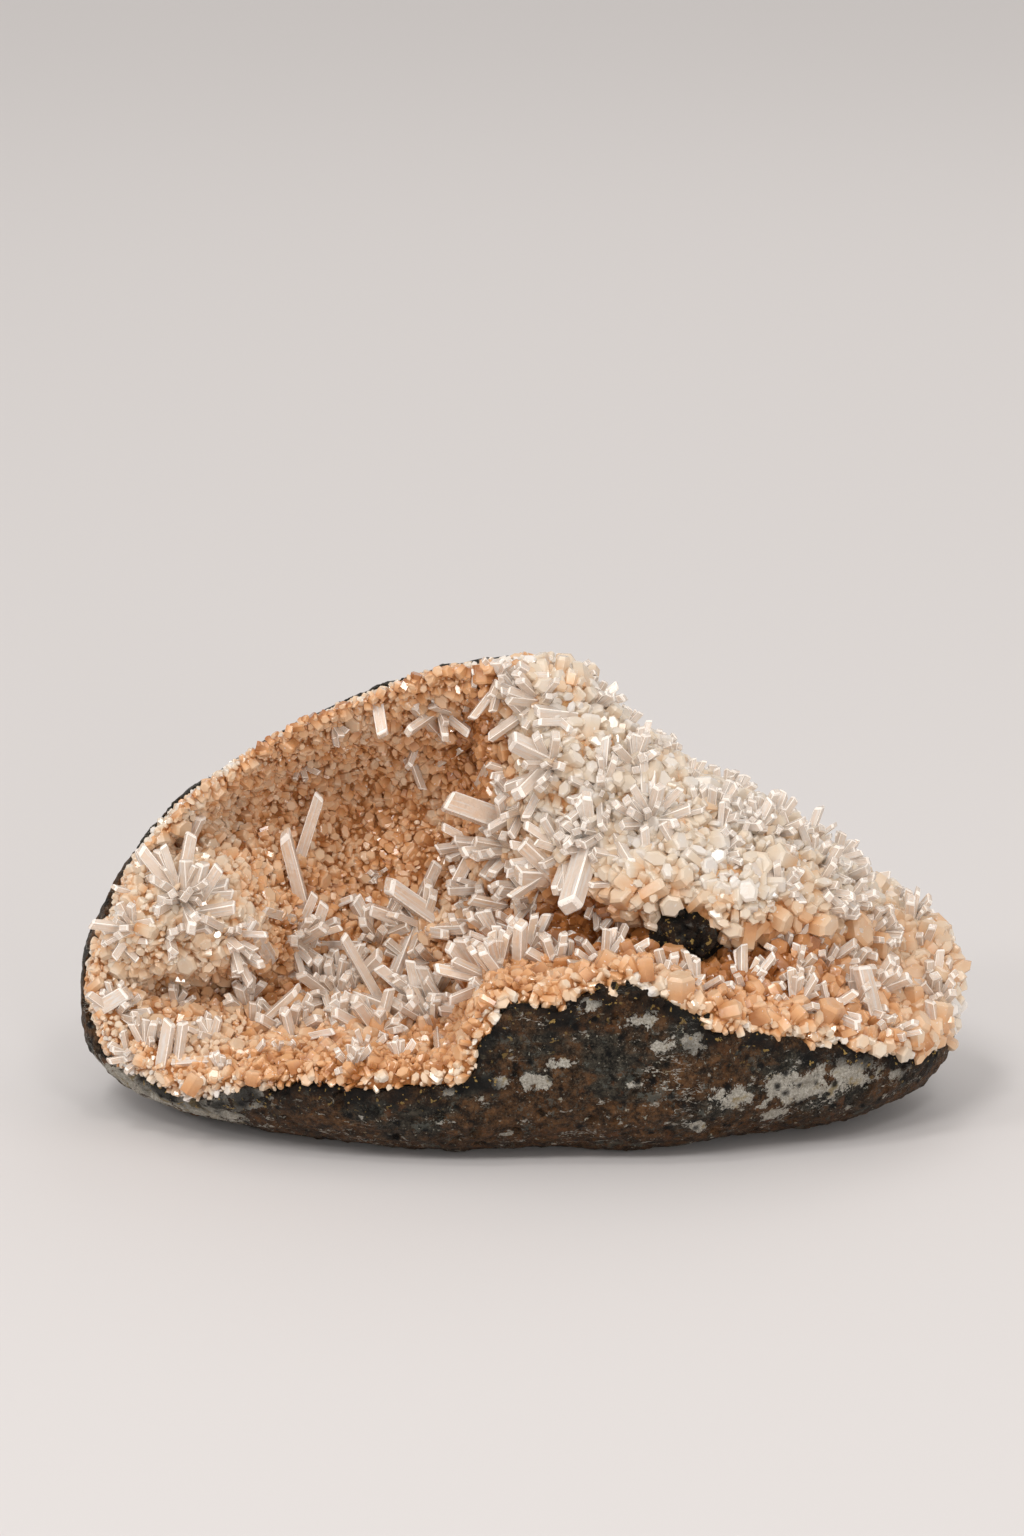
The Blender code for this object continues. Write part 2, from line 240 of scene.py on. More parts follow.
class Finish(Graph):
    """A material on one Principled shader, with patterns that read the piece's own coordinates."""

    def __init__(self, name):
        self.material = bpy.data.materials.new(name)
        self.material.use_nodes = True
        super().__init__(self.material.node_tree)
        self.shader = self.tree.nodes["Principled BSDF"]
        self.place = self.add("ShaderNodeTexCoord").outputs["Object"]

    def set(self, **values):
        """Fixed values of the shader's sockets, their names written with underscores."""
        for name, value in values.items():
            self.shader.inputs[name.replace("_", " ")].default_value = value

    def feed(self, name, value):
        socket = value.socket if isinstance(value, Number) else value
        self.tree.links.new(socket, self.shader.inputs[name])

    def blend(self, factor, low, high):
        """The color low where factor is 0 and high where it is 1."""
        colors = [(*color, 1.0) if isinstance(color, tuple) else color for color in (low, high)]
        node = self.add("ShaderNodeMix", {"data_type": "RGBA"}, {0: factor, 6: colors[0], 7: colors[1]})
        return node.outputs[2]

    def cloud(self, size, detail=3.0, roughness=0.55, stretch=(1, 1, 1), shift=(0, 0, 0)):
        """Smooth noise with lumps of about this size."""
        inputs = {"Vector": self.place, "Scale": stretch, "Location": shift}
        place = self.add("ShaderNodeMapping", None, inputs).outputs[0]
        inputs = {"Vector": place, "Scale": 1 / size, "Detail": detail, "Roughness": roughness}
        return self.number("ShaderNodeTexNoise", "Fac", None, inputs)

    def grains(self, size, shift=(0, 0, 0)):
        """Cells of about this size: how far the cell's middle is, and a number that is each cell's own."""
        place = self.add("ShaderNodeMapping", None, {"Vector": self.place, "Location": shift})
        node = self.add("ShaderNodeTexVoronoi", None, {"Vector": place.outputs[0], "Scale": 1 / size})
        own = self.number("ShaderNodeSeparateColor", 0, None, {0: node.outputs["Color"]})
        return Number(self, node.outputs["Distance"]), own

    def level(self, axis):
        return self.number("ShaderNodeSeparateXYZ", axis, None, {0: self.place})

    def own(self, name):
        """A number that the piece's mesh carries."""
        return self.number("ShaderNodeAttribute", "Fac", {"attribute_name": name})

    def bump(self, height, depth, strength=1.0):
        inputs = {"Height": height, "Distance": depth, "Strength": strength}
        self.feed("Normal", self.add("ShaderNodeBump", None, inputs).outputs[0])


def basalt_finish():
    """Brown-black basalt: rust and blue-black areas, grey flecks, pits painted near-black as painted shade,
    pale specks painted in as glints, and cream zeolite patches.
    """
    finish = Finish("basalt")
    mottle = finish.cloud(1.4 * MM, 8.0, 0.85)
    sand = finish.cloud(0.3 * MM, 4.0, 0.8)
    areas = finish.cloud(9 * MM, 6.0, 0.62, stretch=(0.7, 1, 1.3)) - finish.level("Z") * 3.5
    black = finish.blend(mottle.rising(0.40, 0.66), (0.004, 0.004, 0.003), (0.110, 0.092, 0.066))
    rust = finish.blend(mottle.rising(0.40, 0.68), (0.020, 0.010, 0.004), (0.270, 0.125, 0.048))
    color = finish.blend(areas.rising(0.36, 0.47), black, rust)
    burnt = finish.cloud(3.2 * MM, 6.0, 0.7, shift=(0.1, 0, 0)).rising(0.56, 0.68)
    color = finish.blend(burnt * 0.6, color, (0.24, 0.085, 0.022))
    color = finish.blend(sand.rising(0.52, 0.70) * 0.65, color, (0.25, 0.21, 0.155))

    fleck_shape = finish.cloud(2.6 * MM, 6.0, 0.7, shift=(0, 0, 0.3))
    fleck = (fleck_shape + (sand - 0.5) * 0.5).rising(0.58, 0.64)
    color = finish.blend(fleck * 0.7, color, (0.15, 0.155, 0.13))

    ragged = finish.cloud(2 * MM, 8.0, 0.75, shift=(0, 0.2, 0)) - 0.5
    cream = (finish.own("cream") + ragged * 3.2 + (sand - 0.5) * 0.3).rising(0.50, 0.56)
    vein = finish.cloud(5 * MM, 5.0, 0.6, stretch=(0.6, 1, 1.6), shift=(0.3, 0, 0)) - 0.5
    streaky = finish.cloud(9 * MM, shift=(0, 0.3, 0)).rising(0.5, 0.6)
    streak = (1 - (vein * vein).rising(0.00001, 0.00006)) * streaky
    crumbs = finish.cloud(2 * MM, 5.0, 0.7, stretch=(0.7, 1, 1.3), shift=(0.2, 0.2, 0)).rising(0.62, 0.65)
    cream = cream.at_least(streak).at_least(crumbs * 0.8)
    cream_color = finish.blend(sand.rising(0.3, 0.7), (0.40, 0.34, 0.25), (0.92, 0.87, 0.78))
    yellow = finish.cloud(2.2 * MM, 4.0, shift=(0.2, 0, 0)).rising(0.58, 0.68)
    cream_color = finish.blend(yellow * 0.6, cream_color, (0.42, 0.27, 0.05))
    color = finish.blend(cream, color, cream_color)

    # painted highlights: tiny pale specks in the colour stand in for glints on the stone
    painted_glints = finish.cloud(0.7 * MM, 3.0, 0.6, shift=(0, 0.1, 0)).rising(0.66, 0.70)
    color = finish.blend(painted_glints * 0.8, color, (0.62, 0.58, 0.46))

    pit_far, pit_own = finish.grains(2.0 * MM, (0, 0.07, 0))
    shaded_pit = pit_own.rising(0.5, 0.55) * (1 - (pit_far + (mottle - 0.5) * 0.6).rising(0.10, 0.34))
    # painted shade: the pits are painted near-black for the shade inside them
    color = finish.blend(shaded_pit * 0.92, color, (0.002, 0.002, 0.002))
    # near-black in the window under the nose and along the front contact, with small golden specks
    soot = finish.own("soot")
    color = finish.blend(soot, color, (0.006, 0.006, 0.006))
    gold = finish.cloud(0.8 * MM, 2.0, shift=(0.1, 0.1, 0)).rising(0.64, 0.66)
    color = finish.blend(gold * soot, color, (0.62, 0.40, 0.12))

    finish.feed("Base Color", color)
    finish.feed("Roughness", 0.34 + mottle * 0.4 + cream * 0.2)
    finish.set(Specular_IOR_Level=0.2)
    finish.bump(mottle * 1.2 + sand * 0.45 - shaded_pit * 1.2 + cream * 0.3, 1.2 * MM)
    return finish.material


def crystal_color(finish):
    """White through honey and peach to burnt orange: deeper at a crystal's root, as painted shade between
    the crystals, and paler at its tip, as painted light.
    """
    drift = finish.cloud(4 * MM, 5.0) - 0.5
    tone = finish.own("tone") - 0.5
    # painted shade and light: by its rise from root to tip, a crystal is warmer and darker at the root and
    # paler at the tip
    depth = 0.5 - finish.own("rise")
    warm = (finish.own("warmth") + drift * 0.6 + tone * 0.2 + depth * 0.38).at_least(0.0)
    stops = (
        (0.0, (0.93, 0.86, 0.79)),
        (0.25, (0.90, 0.75, 0.58)),
        (0.5, (0.88, 0.61, 0.39)),
        (0.75, (0.83, 0.43, 0.19)),
        (1.0, (0.48, 0.18, 0.05)),
    )
    return finish.add("ShaderNodeValToRGB", {"stops": stops}, {0: warm}).outputs[0]


def druse_finish(name, clearness):
    """Small crystals: wet-looking and a little see-through, each with clean faces."""
    finish = Finish(name)
    speck = finish.cloud(0.6 * MM, 3.0).rising(0.67, 0.71)
    finish.feed("Base Color", finish.blend(speck * 0.8, crystal_color(finish), (0.98, 0.95, 0.91)))
    finish.feed("Roughness", 0.06 + finish.own("tone") * 0.16)
    finish.set(Transmission_Weight=clearness, IOR=1.5, Coat_Weight=0.5, Coat_Roughness=0.04)
    finish.bump(finish.cloud(0.35 * MM, 3.0), 0.12 * MM, 0.5)
    return finish.material


def crust_finish():
    """The ground that the small crystals stand on."""
    finish = Finish("crust")
    finish.feed("Base Color", crystal_color(finish))
    grit = finish.cloud(0.7 * MM, 5.0, 0.7)
    finish.feed("Roughness", 0.2 + grit * 0.4)
    finish.set(Subsurface_Weight=0.3, Subsurface_Radius=(1.0, 0.5, 0.25), Subsurface_Scale=1.5 * MM)
    far, own = finish.grains(0.9 * MM)
    finish.bump(own * 0.6 - far * 0.8 + grit, 0.7 * MM)
    return finish.material


def prism_finish():
    """The long prisms' faces: clear, with a faint veil inside and white lines along them, partly striations
    and partly painted reflections.
    """
    finish = Finish("clear_prism")
    veil = finish.cloud(1.8 * MM, 5.0, 0.65)
    inner = finish.add("ShaderNodeAttribute", {"attribute_name": "inner"}).outputs["Vector"]
    along = finish.add("ShaderNodeMapping", None, {"Vector": inner, "Scale": (7, 7, 1.2)}).outputs[0]
    inputs = {"Vector": along, "W": finish.own("spin") * 10.0, "Scale": 1.0, "Detail": 3.0}
    lines = finish.number("ShaderNodeTexNoise", "Fac", {"noise_dimensions": "4D"}, inputs)
    tint = finish.blend(finish.own("warmth").at_most(1.0), (0.98, 0.85, 0.74), (0.97, 0.71, 0.50))
    color = finish.blend(veil.rising(0.35, 0.65) * 0.45, tint, (1.0, 0.93, 0.86))
    # white lines along the prism: partly striations, partly painted reflections and highlights
    color = finish.blend(lines.rising(0.52, 0.60) * 0.7, color, (1.0, 0.98, 0.95))
    finish.feed("Base Color", color)
    finish.feed("Roughness", 0.08 + veil.rising(0.4, 0.7) * 0.15)
    finish.set(Transmission_Weight=0.37, IOR=1.5, Coat_Weight=0.3, Coat_Roughness=0.08)
    finish.bump(finish.cloud(0.6 * MM, 4.0, 0.6) + lines, 0.2 * MM, 0.8)
    return finish.material


def edge_highlight_finish():
    """The prisms' cut edges and tips, frosted white: a painted highlight along the edges."""
    finish = Finish("frosted_edge")
    finish.feed("Base Color", finish.blend(finish.cloud(1 * MM), (0.98, 0.87, 0.76), (0.99, 0.95, 0.90)))
    finish.feed("Roughness", 0.15 + finish.cloud(0.8 * MM) * 0.3)
    finish.set(Transmission_Weight=0.15, IOR=1.46)
    return finish.material


def add_object(name, mesh, *finishes):
    obj = bpy.data.objects.new(name, mesh)
    bpy.context.scene.collection.objects.link(obj)
    for finish in finishes:
        mesh.materials.append(finish)
    return obj


def mesh_of(name, bm):
    mesh = bpy.data.meshes.new(name)
    bm.to_mesh(mesh)
    bm.free()
    return mesh


def plain(obj, name):
    """The object with its modifiers worked out, as a new plain mesh object."""
    depsgraph = bpy.context.evaluated_depsgraph_get()
    mesh = bpy.data.meshes.new_from_object(
        obj.evaluated_get(depsgraph), preserve_all_data_layers=True, depsgraph=depsgraph
    )
    mesh.name = name
    bpy.data.objects.remove(obj)
    made = bpy.data.objects.new(name, mesh)
    bpy.context.scene.collection.objects.link(made)
    return made


def smooth_through(points, steps):
    """A curve through the points, with this many steps between each two."""
    ends = [points[0] * 2 - points[1], *points, points[-1] * 2 - points[-2]]
    curve = []
    for a, b, c, d in zip(ends, ends[1:], ends[2:], ends[3:]):
        for step in range(steps):
            t = step / steps
            bend = (a * 2 - b * 5 + c * 4 - d) * t**2 + (b * 3 - a - c * 3 + d) * t**3
            curve.append((b * 2 + (c - a) * t + bend) / 2)
    return [*curve, points[-1].copy()]


def refined(rows, steps):
    """The smooth surface through the rows' points, with this many steps between each two, both ways."""
    lines = zip(*(smooth_through(row, steps) for row in rows))
    return [list(row) for row in zip(*(smooth_through(list(line), steps) for line in lines))]


def lining(steps):
    """The lining as rows of points. A row runs up the stone, and the rows follow each other along +X."""
    rows = [[Vector((x, *point)) * MM for point in points] for x, *points in SECTIONS]
    return refined(rows, steps)


def normals_of(rows, evenings):
    """The direction out of the stone at each point, evened this many times. The end rows' stay upright."""
    last_row, last_point = len(rows) - 1, len(rows[0]) - 1
    normals = []
    for i, row in enumerate(rows):
        line = []
        for j in range(len(row)):
            along = rows[min(i + 1, last_row)][j] - rows[max(i - 1, 0)][j]
            up = row[min(j + 1, last_point)] - row[max(j - 1, 0)]
            line.append(along.cross(up).normalized())
        normals.append(line)
    for _ in range(evenings):
        evened = []
        for i, line in enumerate(normals):
            before, after = normals[max(i - 1, 0)], normals[min(i + 1, last_row)]
            upright = Vector((0 if i in (0, last_row) else 1, 1, 1))
            sums = [
                line[j] + before[j] + after[j] + line[max(j - 1, 0)] + line[min(j + 1, last_point)]
                for j in range(len(line))
            ]
            evened.append([(total * upright).normalized() for total in sums])
        normals = evened
    return normals


def swell(point, masses):
    """How far the crust swells here before its crystals are counted."""
    large = noise.noise(point / (7 * MM))
    small = noise.noise(point / (3 * MM) + Vector((5, 0, 0)))
    fade = min(max((HALF_LENGTH - abs(point.x)) / (5 * MM), 0), 1)
    rises = [
        height * math.exp(-(((point - middle).length / reach) ** 2)) for middle, reach, height in masses
    ]
    return (0.7 + 0.8 * large + 0.5 * small + max(rises) + min(rises)) * MM * fade


def ragged(rows):
    """The basalt's face with the broken edge that it has along the contact."""

    def moved(point, normal):
        lump = 1.6 * noise.noise(point / (5 * MM)) + 0.9 * noise.noise(point / (2 * MM))
        return point + normal * lump * MM

    normals = normals_of(rows, LUMP_EVENINGS)
    return [[moved(p, n) for p, n in zip(row, line)] for row, line in zip(rows, normals)]


def square_at(k, width):
    """The square of the rows' points that starts at point k, where a row has this many points."""
    return (k, k + width, k + width + 1, k + 1)


def swollen(rows):
    """The lining with its lumps and masses: what the crystals grow on."""
    width = len(rows[0])
    points = [point for row in rows for point in row]
    squares = [square_at(k, width) for k in range(len(points) - width) if (k + 1) % width]
    surface = BVHTree.FromPolygons(points, squares)
    masses = []
    for pixel, reach, height in MASSES:
        middle = surface.ray_cast(*line_of_sight(pixel))[0]
        masses.append((middle, reach * MM, height))
    normals = normals_of(rows, LUMP_EVENINGS)
    return [[p + n * swell(p, masses) for p, n in zip(row, line)] for row, line in zip(rows, normals)]


def sunk(rows, steps):
    """The basalt's face behind the crust."""
    depths = [
        shallow + (deep - shallow) * step / steps
        for shallow, deep in zip(CRUST, CRUST[1:])
        for step in range(steps)
    ]
    depths.append(CRUST[-1])
    return [
        [point - normal * depth for point, normal, depth in zip(row, line, depths)]
        for row, line in zip(rows, normals_of(rows, SINK_EVENINGS))
    ]


def block_beside(name, rows, corners):
    """The closed solid on one side of the rows, where each row is closed through the corners."""
    bm = bmesh.new()
    first = [Vector((-BLOCK_END, point.y, point.z)) for point in rows[0]]
    last = [Vector((BLOCK_END, point.y, point.z)) for point in rows[-1]]
    rings = []
    for row in (first, *rows, last):
        closing = [Vector((row[-1].x, y * MM, z * MM)) for y, z in corners]
        rings.append([bm.verts.new(point) for point in (*row, *closing)])
    join_rings(bm, rings)
    bmesh.ops.triangulate(bm, faces=bm.faces[:])
    bmesh.ops.recalc_face_normals(bm, faces=bm.faces[:])
    return add_object(name, mesh_of(name, bm))


def join_rings(bm, rings):
    """Faces between each ring and the next one, and over the first and the last."""
    for ring, following in zip(rings, rings[1:]):
        for corners in zip(ring, following, (*following[1:], following[0]), (*ring[1:], ring[0])):
            bm.faces.new(corners)
    bm.faces.new(rings[0])
    bm.faces.new(rings[-1])


def skin_point(direction):
    """Where the nodule's skin lies in this direction from its middle."""
    x, y, z = direction
    flat = math.hypot(x, y)
    if flat > 0:
        swell = flat / (abs(x) ** PLAN_POWER + abs(y) ** PLAN_POWER) ** (1 / PLAN_POWER)
        x, y = x * swell, y * swell
    power, height = (CROWN_POWER, CROWN_RISE) if z > 0 else (KEEL_POWER, KEEL_DROP)
    grow = (flat**power + abs(z) ** power) ** (-1 / power)
    point = Vector((x * grow * HALF_LENGTH, y * grow * HALF_DEPTH, z * grow * height + WIDEST_LEVEL))
    lump = noise.noise(point / SKIN_LUMP_SIZE) * SKIN_LUMP
    return point + direction * lump


def skin_depth(point):
    """How deep in the nodule this is, as a share: 0 in its middle, 1 at its skin."""
    plan = (abs(point.x) / HALF_LENGTH) ** PLAN_POWER + (abs(point.y) / HALF_DEPTH) ** PLAN_POWER
    rise = point.z - WIDEST_LEVEL
    power, height = (CROWN_POWER, CROWN_RISE) if rise > 0 else (KEEL_POWER, KEEL_DROP)
    return (plan ** (power / PLAN_POWER) + (abs(rise) / height) ** power) ** (1 / power)


def nodule(name, finish, inset=0):
    """The whole nodule before it broke, or what lies deeper than inset in it, flat where it rests."""
    bm = bmesh.new()
    bmesh.ops.create_icosphere(bm, subdivisions=SKIN_FINENESS, radius=1)
    for vert in bm.verts:
        direction = vert.co.normalized()
        vert.co = skin_point(direction) - direction * inset
    whole = bm.verts[:] + bm.edges[:] + bm.faces[:]
    cut = bmesh.ops.bisect_plane(bm, geom=whole, plane_co=(0, 0, 0), plane_no=(0, 0, -1), clear_outer=True)
    rim = [edge for edge in cut["geom_cut"] if isinstance(edge, bmesh.types.BMEdge)]
    bmesh.ops.contextual_create(bm, geom=rim)
    bmesh.ops.triangulate(bm, faces=bm.faces[:])
    bmesh.ops.recalc_face_normals(bm, faces=bm.faces[:])
    return add_object(name, mesh_of(name, bm), finish)


def cut_or_join(obj, operation, other):
    """One Boolean, worked out at once. The other object is used up."""
    change = obj.modifiers.new(operation, "BOOLEAN")
    change.operation = operation
    change.object = other
    made = plain(obj, obj.name)
    bpy.data.objects.remove(other)
    return made


def roughened(obj, name, fineness, rough_tree, values):
    """The piece with an even fine mesh, and on it its broken grain and pits."""
    even = obj.modifiers.new("even", "REMESH")
    even.mode = "VOXEL"
    even.voxel_size = fineness
    change = obj.modifiers.new("grain", "NODES")
    change.node_group = rough_tree
    give(change, values)
    return plain(obj, name)


def give(change, values):
    """Sets a Geometry Nodes modifier's inputs by the names that its tree gives them."""
    for item in change.node_group.interface.items_tree:
        if item.item_type == "SOCKET" and item.in_out == "INPUT" and item.name in values:
            change[item.identifier] = values[item.name]


def new_tree(name, inputs):
    """An empty Geometry Nodes tree with a mesh in, a mesh out and these named inputs."""
    tree = bpy.data.node_groups.new(name, "GeometryNodeTree")
    tree.interface.new_socket("Geometry", in_out="OUTPUT", socket_type="NodeSocketGeometry")
    tree.interface.new_socket("Geometry", in_out="INPUT", socket_type="NodeSocketGeometry")
    for label, kind in inputs:
        tree.interface.new_socket(label, in_out="INPUT", socket_type=f"NodeSocket{kind}")
    graph = Graph(tree)
    return graph, graph.add("NodeGroupInput").outputs


def grain_tree():
    """Moves the stone's surface by broken grain and pits, and leaves the flat underside alone."""
    inputs = (("Grain", "Float"), ("Pit Depth", "Float"), ("Flat Below", "Float"), ("Finish", "Material"))
    graph, given = new_tree("broken_grain", inputs)
    place = graph.add("GeometryNodeInputPosition").outputs[0]
    inputs = {"Vector": place, "Scale": 1 / (4 * MM), "Detail": 6.0, "Roughness": 0.65}
    coarse = graph.number("ShaderNodeTexNoise", "Fac", None, inputs)
    inputs = {"Vector": place, "Scale": 1 / (2.6 * MM), "Smoothness": 0.3}
    cells = graph.add("ShaderNodeTexVoronoi", {"feature": "SMOOTH_F1"}, inputs)
    own = graph.number("FunctionNodeSeparateColor", 0, None, {0: cells.outputs["Color"]})
    hollow = (1.0 - Number(graph, cells.outputs["Distance"]).rising(0.05, 0.42)) * own.rising(0.55, 0.65)
    move = (coarse - 0.5) * Number(graph, given["Grain"]) - hollow * Number(graph, given["Pit Depth"])
    level = graph.number("ShaderNodeSeparateXYZ", 2, None, {0: place})
    above = level.math("GREATER_THAN", level, given["Flat Below"])
    normal = graph.add("GeometryNodeInputNormal").outputs[0]
    offset = graph.add("ShaderNodeVectorMath", {"operation": "SCALE"}, {0: normal, "Scale": move * above})
    inputs = {"Geometry": given["Geometry"], "Offset": offset.outputs[0]}
    moved = graph.add("GeometryNodeSetPosition", None, inputs).outputs[0]
    graph.add("NodeGroupOutput", None, {"Geometry": graph.finished(moved, given["Finish"])})
    return graph.tree


# The most places for small crystals on a square metre, before those too near each other are dropped
DENSEST = 4e6


def druse_tree():
    """Grows small crystals over a surface, turned and sized by chance, and larger where it says so."""
    inputs = (
        ("Crystal", "Object"),
        ("Spacing", "Float"),
        ("Least Size", "Float"),
        ("Tilt", "Float"),
        ("Seed", "Int"),
        ("Grow", "Float"),
        ("Finish", "Material"),
    )
    graph, given = new_tree("druse", inputs)
    inputs = {
        "Mesh": given["Geometry"],
        "Distance Min": given["Spacing"],
        "Density Max": DENSEST,
        "Density Factor": graph.carried("growth"),
        "Seed": given["Seed"],
    }
    points = graph.add("GeometryNodeDistributePointsOnFaces", {"distribute_method": "POISSON"}, inputs)
    tilt = Number(graph, given["Tilt"])
    lowest = graph.add("ShaderNodeCombineXYZ", None, {0: -1.0 * tilt, 1: -1.0 * tilt, 2: 0.0})
    highest = graph.add("ShaderNodeCombineXYZ", None, {0: tilt, 1: tilt, 2: math.tau})
    turn = graph.random_vector(lowest.outputs[0], highest.outputs[0], 5)
    turn = graph.add("FunctionNodeEulerToRotation", None, {0: turn}).outputs[0]
    size = Number(graph, graph.carried("size")) * graph.random(given["Least Size"], 1.3, 3)
    size *= Number(graph, given["Grow"])
    stretch = graph.random_vector((0.5, 0.45, 0.6), (1.45, 1.2, 1.5), 11)
    scale = graph.add("ShaderNodeVectorMath", {"operation": "SCALE"}, {0: stretch, "Scale": size})
    inputs = {
        "Points": points.outputs["Points"],
        "Instance": graph.add("GeometryNodeObjectInfo", None, {0: given["Crystal"]}).outputs["Geometry"],
        "Rotation": graph.turned(points.outputs["Rotation"], turn),
        "Scale": scale.outputs[0],
    }
    grown = graph.add("GeometryNodeInstanceOnPoints", None, inputs).outputs[0]
    inputs = {"Geometry": grown, "Name": "tone", "Value": graph.random(0.0, 1.0, 8)}
    settings = {"data_type": "FLOAT", "domain": "INSTANCE"}
    toned = graph.add("GeometryNodeStoreNamedAttribute", settings, inputs).outputs[0]
    real = graph.add("GeometryNodeRealizeInstances", None, {0: toned}).outputs[0]
    graph.add("NodeGroupOutput", None, {"Geometry": graph.finished(real, given["Finish"])})
    return graph.tree


def prism_tree():
    """Stands one prism on every point of a mesh, along the point's own direction and in its own size."""
    inputs = (("Crystal", "Object"), ("Finish", "Material"), ("Edge Finish", "Material"))
    graph, given = new_tree("prisms", inputs)
    inputs = {"Vector": graph.carried("direction", "FLOAT_VECTOR")}
    upright = graph.add("FunctionNodeAlignRotationToVector", {"axis": "Z"}, inputs).outputs[0]
    inputs = {"Axis": (0, 0, 1), "Angle": graph.carried("spin")}
    spin = graph.add("FunctionNodeAxisAngleToRotation", None, inputs).outputs[0]
    width = Number(graph, graph.carried("width"))
    depth = width * Number(graph, graph.carried("flatness"))
    scale = graph.add("ShaderNodeCombineXYZ", None, {0: width, 1: depth, 2: graph.carried("length")})
    inputs = {
        "Points": given["Geometry"],
        "Instance": graph.add("GeometryNodeObjectInfo", None, {0: given["Crystal"]}).outputs["Geometry"],
        "Rotation": graph.turned(upright, spin),
        "Scale": scale.outputs[0],
    }
    grown = graph.add("GeometryNodeInstanceOnPoints", None, inputs).outputs[0]
    real = graph.add("GeometryNodeRealizeInstances", None, {0: grown}).outputs[0]
    clear = graph.finished(real, given["Finish"])
    # the edge finish paints a white highlight on the cut edges and tip rims
    edged = graph.finished(clear, given["Edge Finish"], {"Selection": graph.carried("frosted")})
    graph.add("NodeGroupOutput", None, {"Geometry": edged})
    return graph.tree


def facet_rings(outline, levels):
    """A closed crystal: the outline at each level, grown by the level's share, with its ends flat."""
    bm = bmesh.new()
    join_rings(bm, [[bm.verts.new((x * grow, y * grow, z)) for x, y in outline] for z, grow in levels])
    bmesh.ops.recalc_face_normals(bm, faces=bm.faces[:])
    return bm


def blocky_crystal():
    """One heulandite crystal, 1 long: a six-sided tablet, narrow at both ends, with its front edges cut."""
    outline = ((0.0, 0.5), (0.34, 0.26), (0.36, -0.22), (0.0, -0.5), (-0.36, -0.26), (-0.34, 0.22))
    levels = ((-0.3, 0.92), (0.42, 1.0), (0.52, 0.76))
    crystal = helper("blocky_crystal", facet_rings(outline, levels))
    carry(crystal.data, "rise", [min(max(vert.co.z / 0.5, 0), 1) for vert in crystal.data.vertices])
    return crystal


def long_crystal():
    """One clear prism, 1 wide and 1 long from its root: square with cut edges, and a cut rim at its tip."""
    half, cut = 0.5, 0.42
    outline = ((half, -cut), (half, cut), (cut, half), (-cut, half))
    outline = (*outline, *((-x, -y) for x, y in outline))
    levels = ((0.0, 1.0), (0.93, 0.95), (0.975, 0.84), (0.992, 0.62))
    crystal = helper("long_crystal", facet_rings(outline, levels))
    inner = crystal.data.attributes.new("inner", "FLOAT_VECTOR", "POINT")
    inner.data.foreach_set("vector", [part for vert in crystal.data.vertices for part in vert.co])
    for vert in crystal.data.vertices:
        vert.co.z *= 1 + 0.09 * vert.co.x + 0.05 * vert.co.y
    # the cut edges and the tip rim take the white edge finish, a painted highlight
    frosted = []
    for face in crystal.data.polygons:
        x, y, z = (abs(part) for part in face.normal)
        on_cut_edge = min(x, y) > 0.3
        on_tip_rim = 0.1 < z < 0.98
        frosted.append(float(on_cut_edge or on_tip_rim))
    crystal.data.attributes.new("frosted", "FLOAT", "FACE").data.foreach_set("value", frosted)
    return crystal


def basalt_knob():
    """One rough rounded lump of basalt, 1 wide and 1 high."""
    bm = bmesh.new()
    bmesh.ops.create_icosphere(bm, subdivisions=2, radius=0.5)
    for vert in bm.verts:
        vert.co *= 1 + 0.5 * noise.noise(vert.co * 3)
        vert.co.z += 0.4
    return helper("basalt_knob", bm)


def helper(name, bm):
    obj = add_object(name, mesh_of(name, bm))
    obj.hide_render = True
    obj.display_type = "WIRE"
    return obj


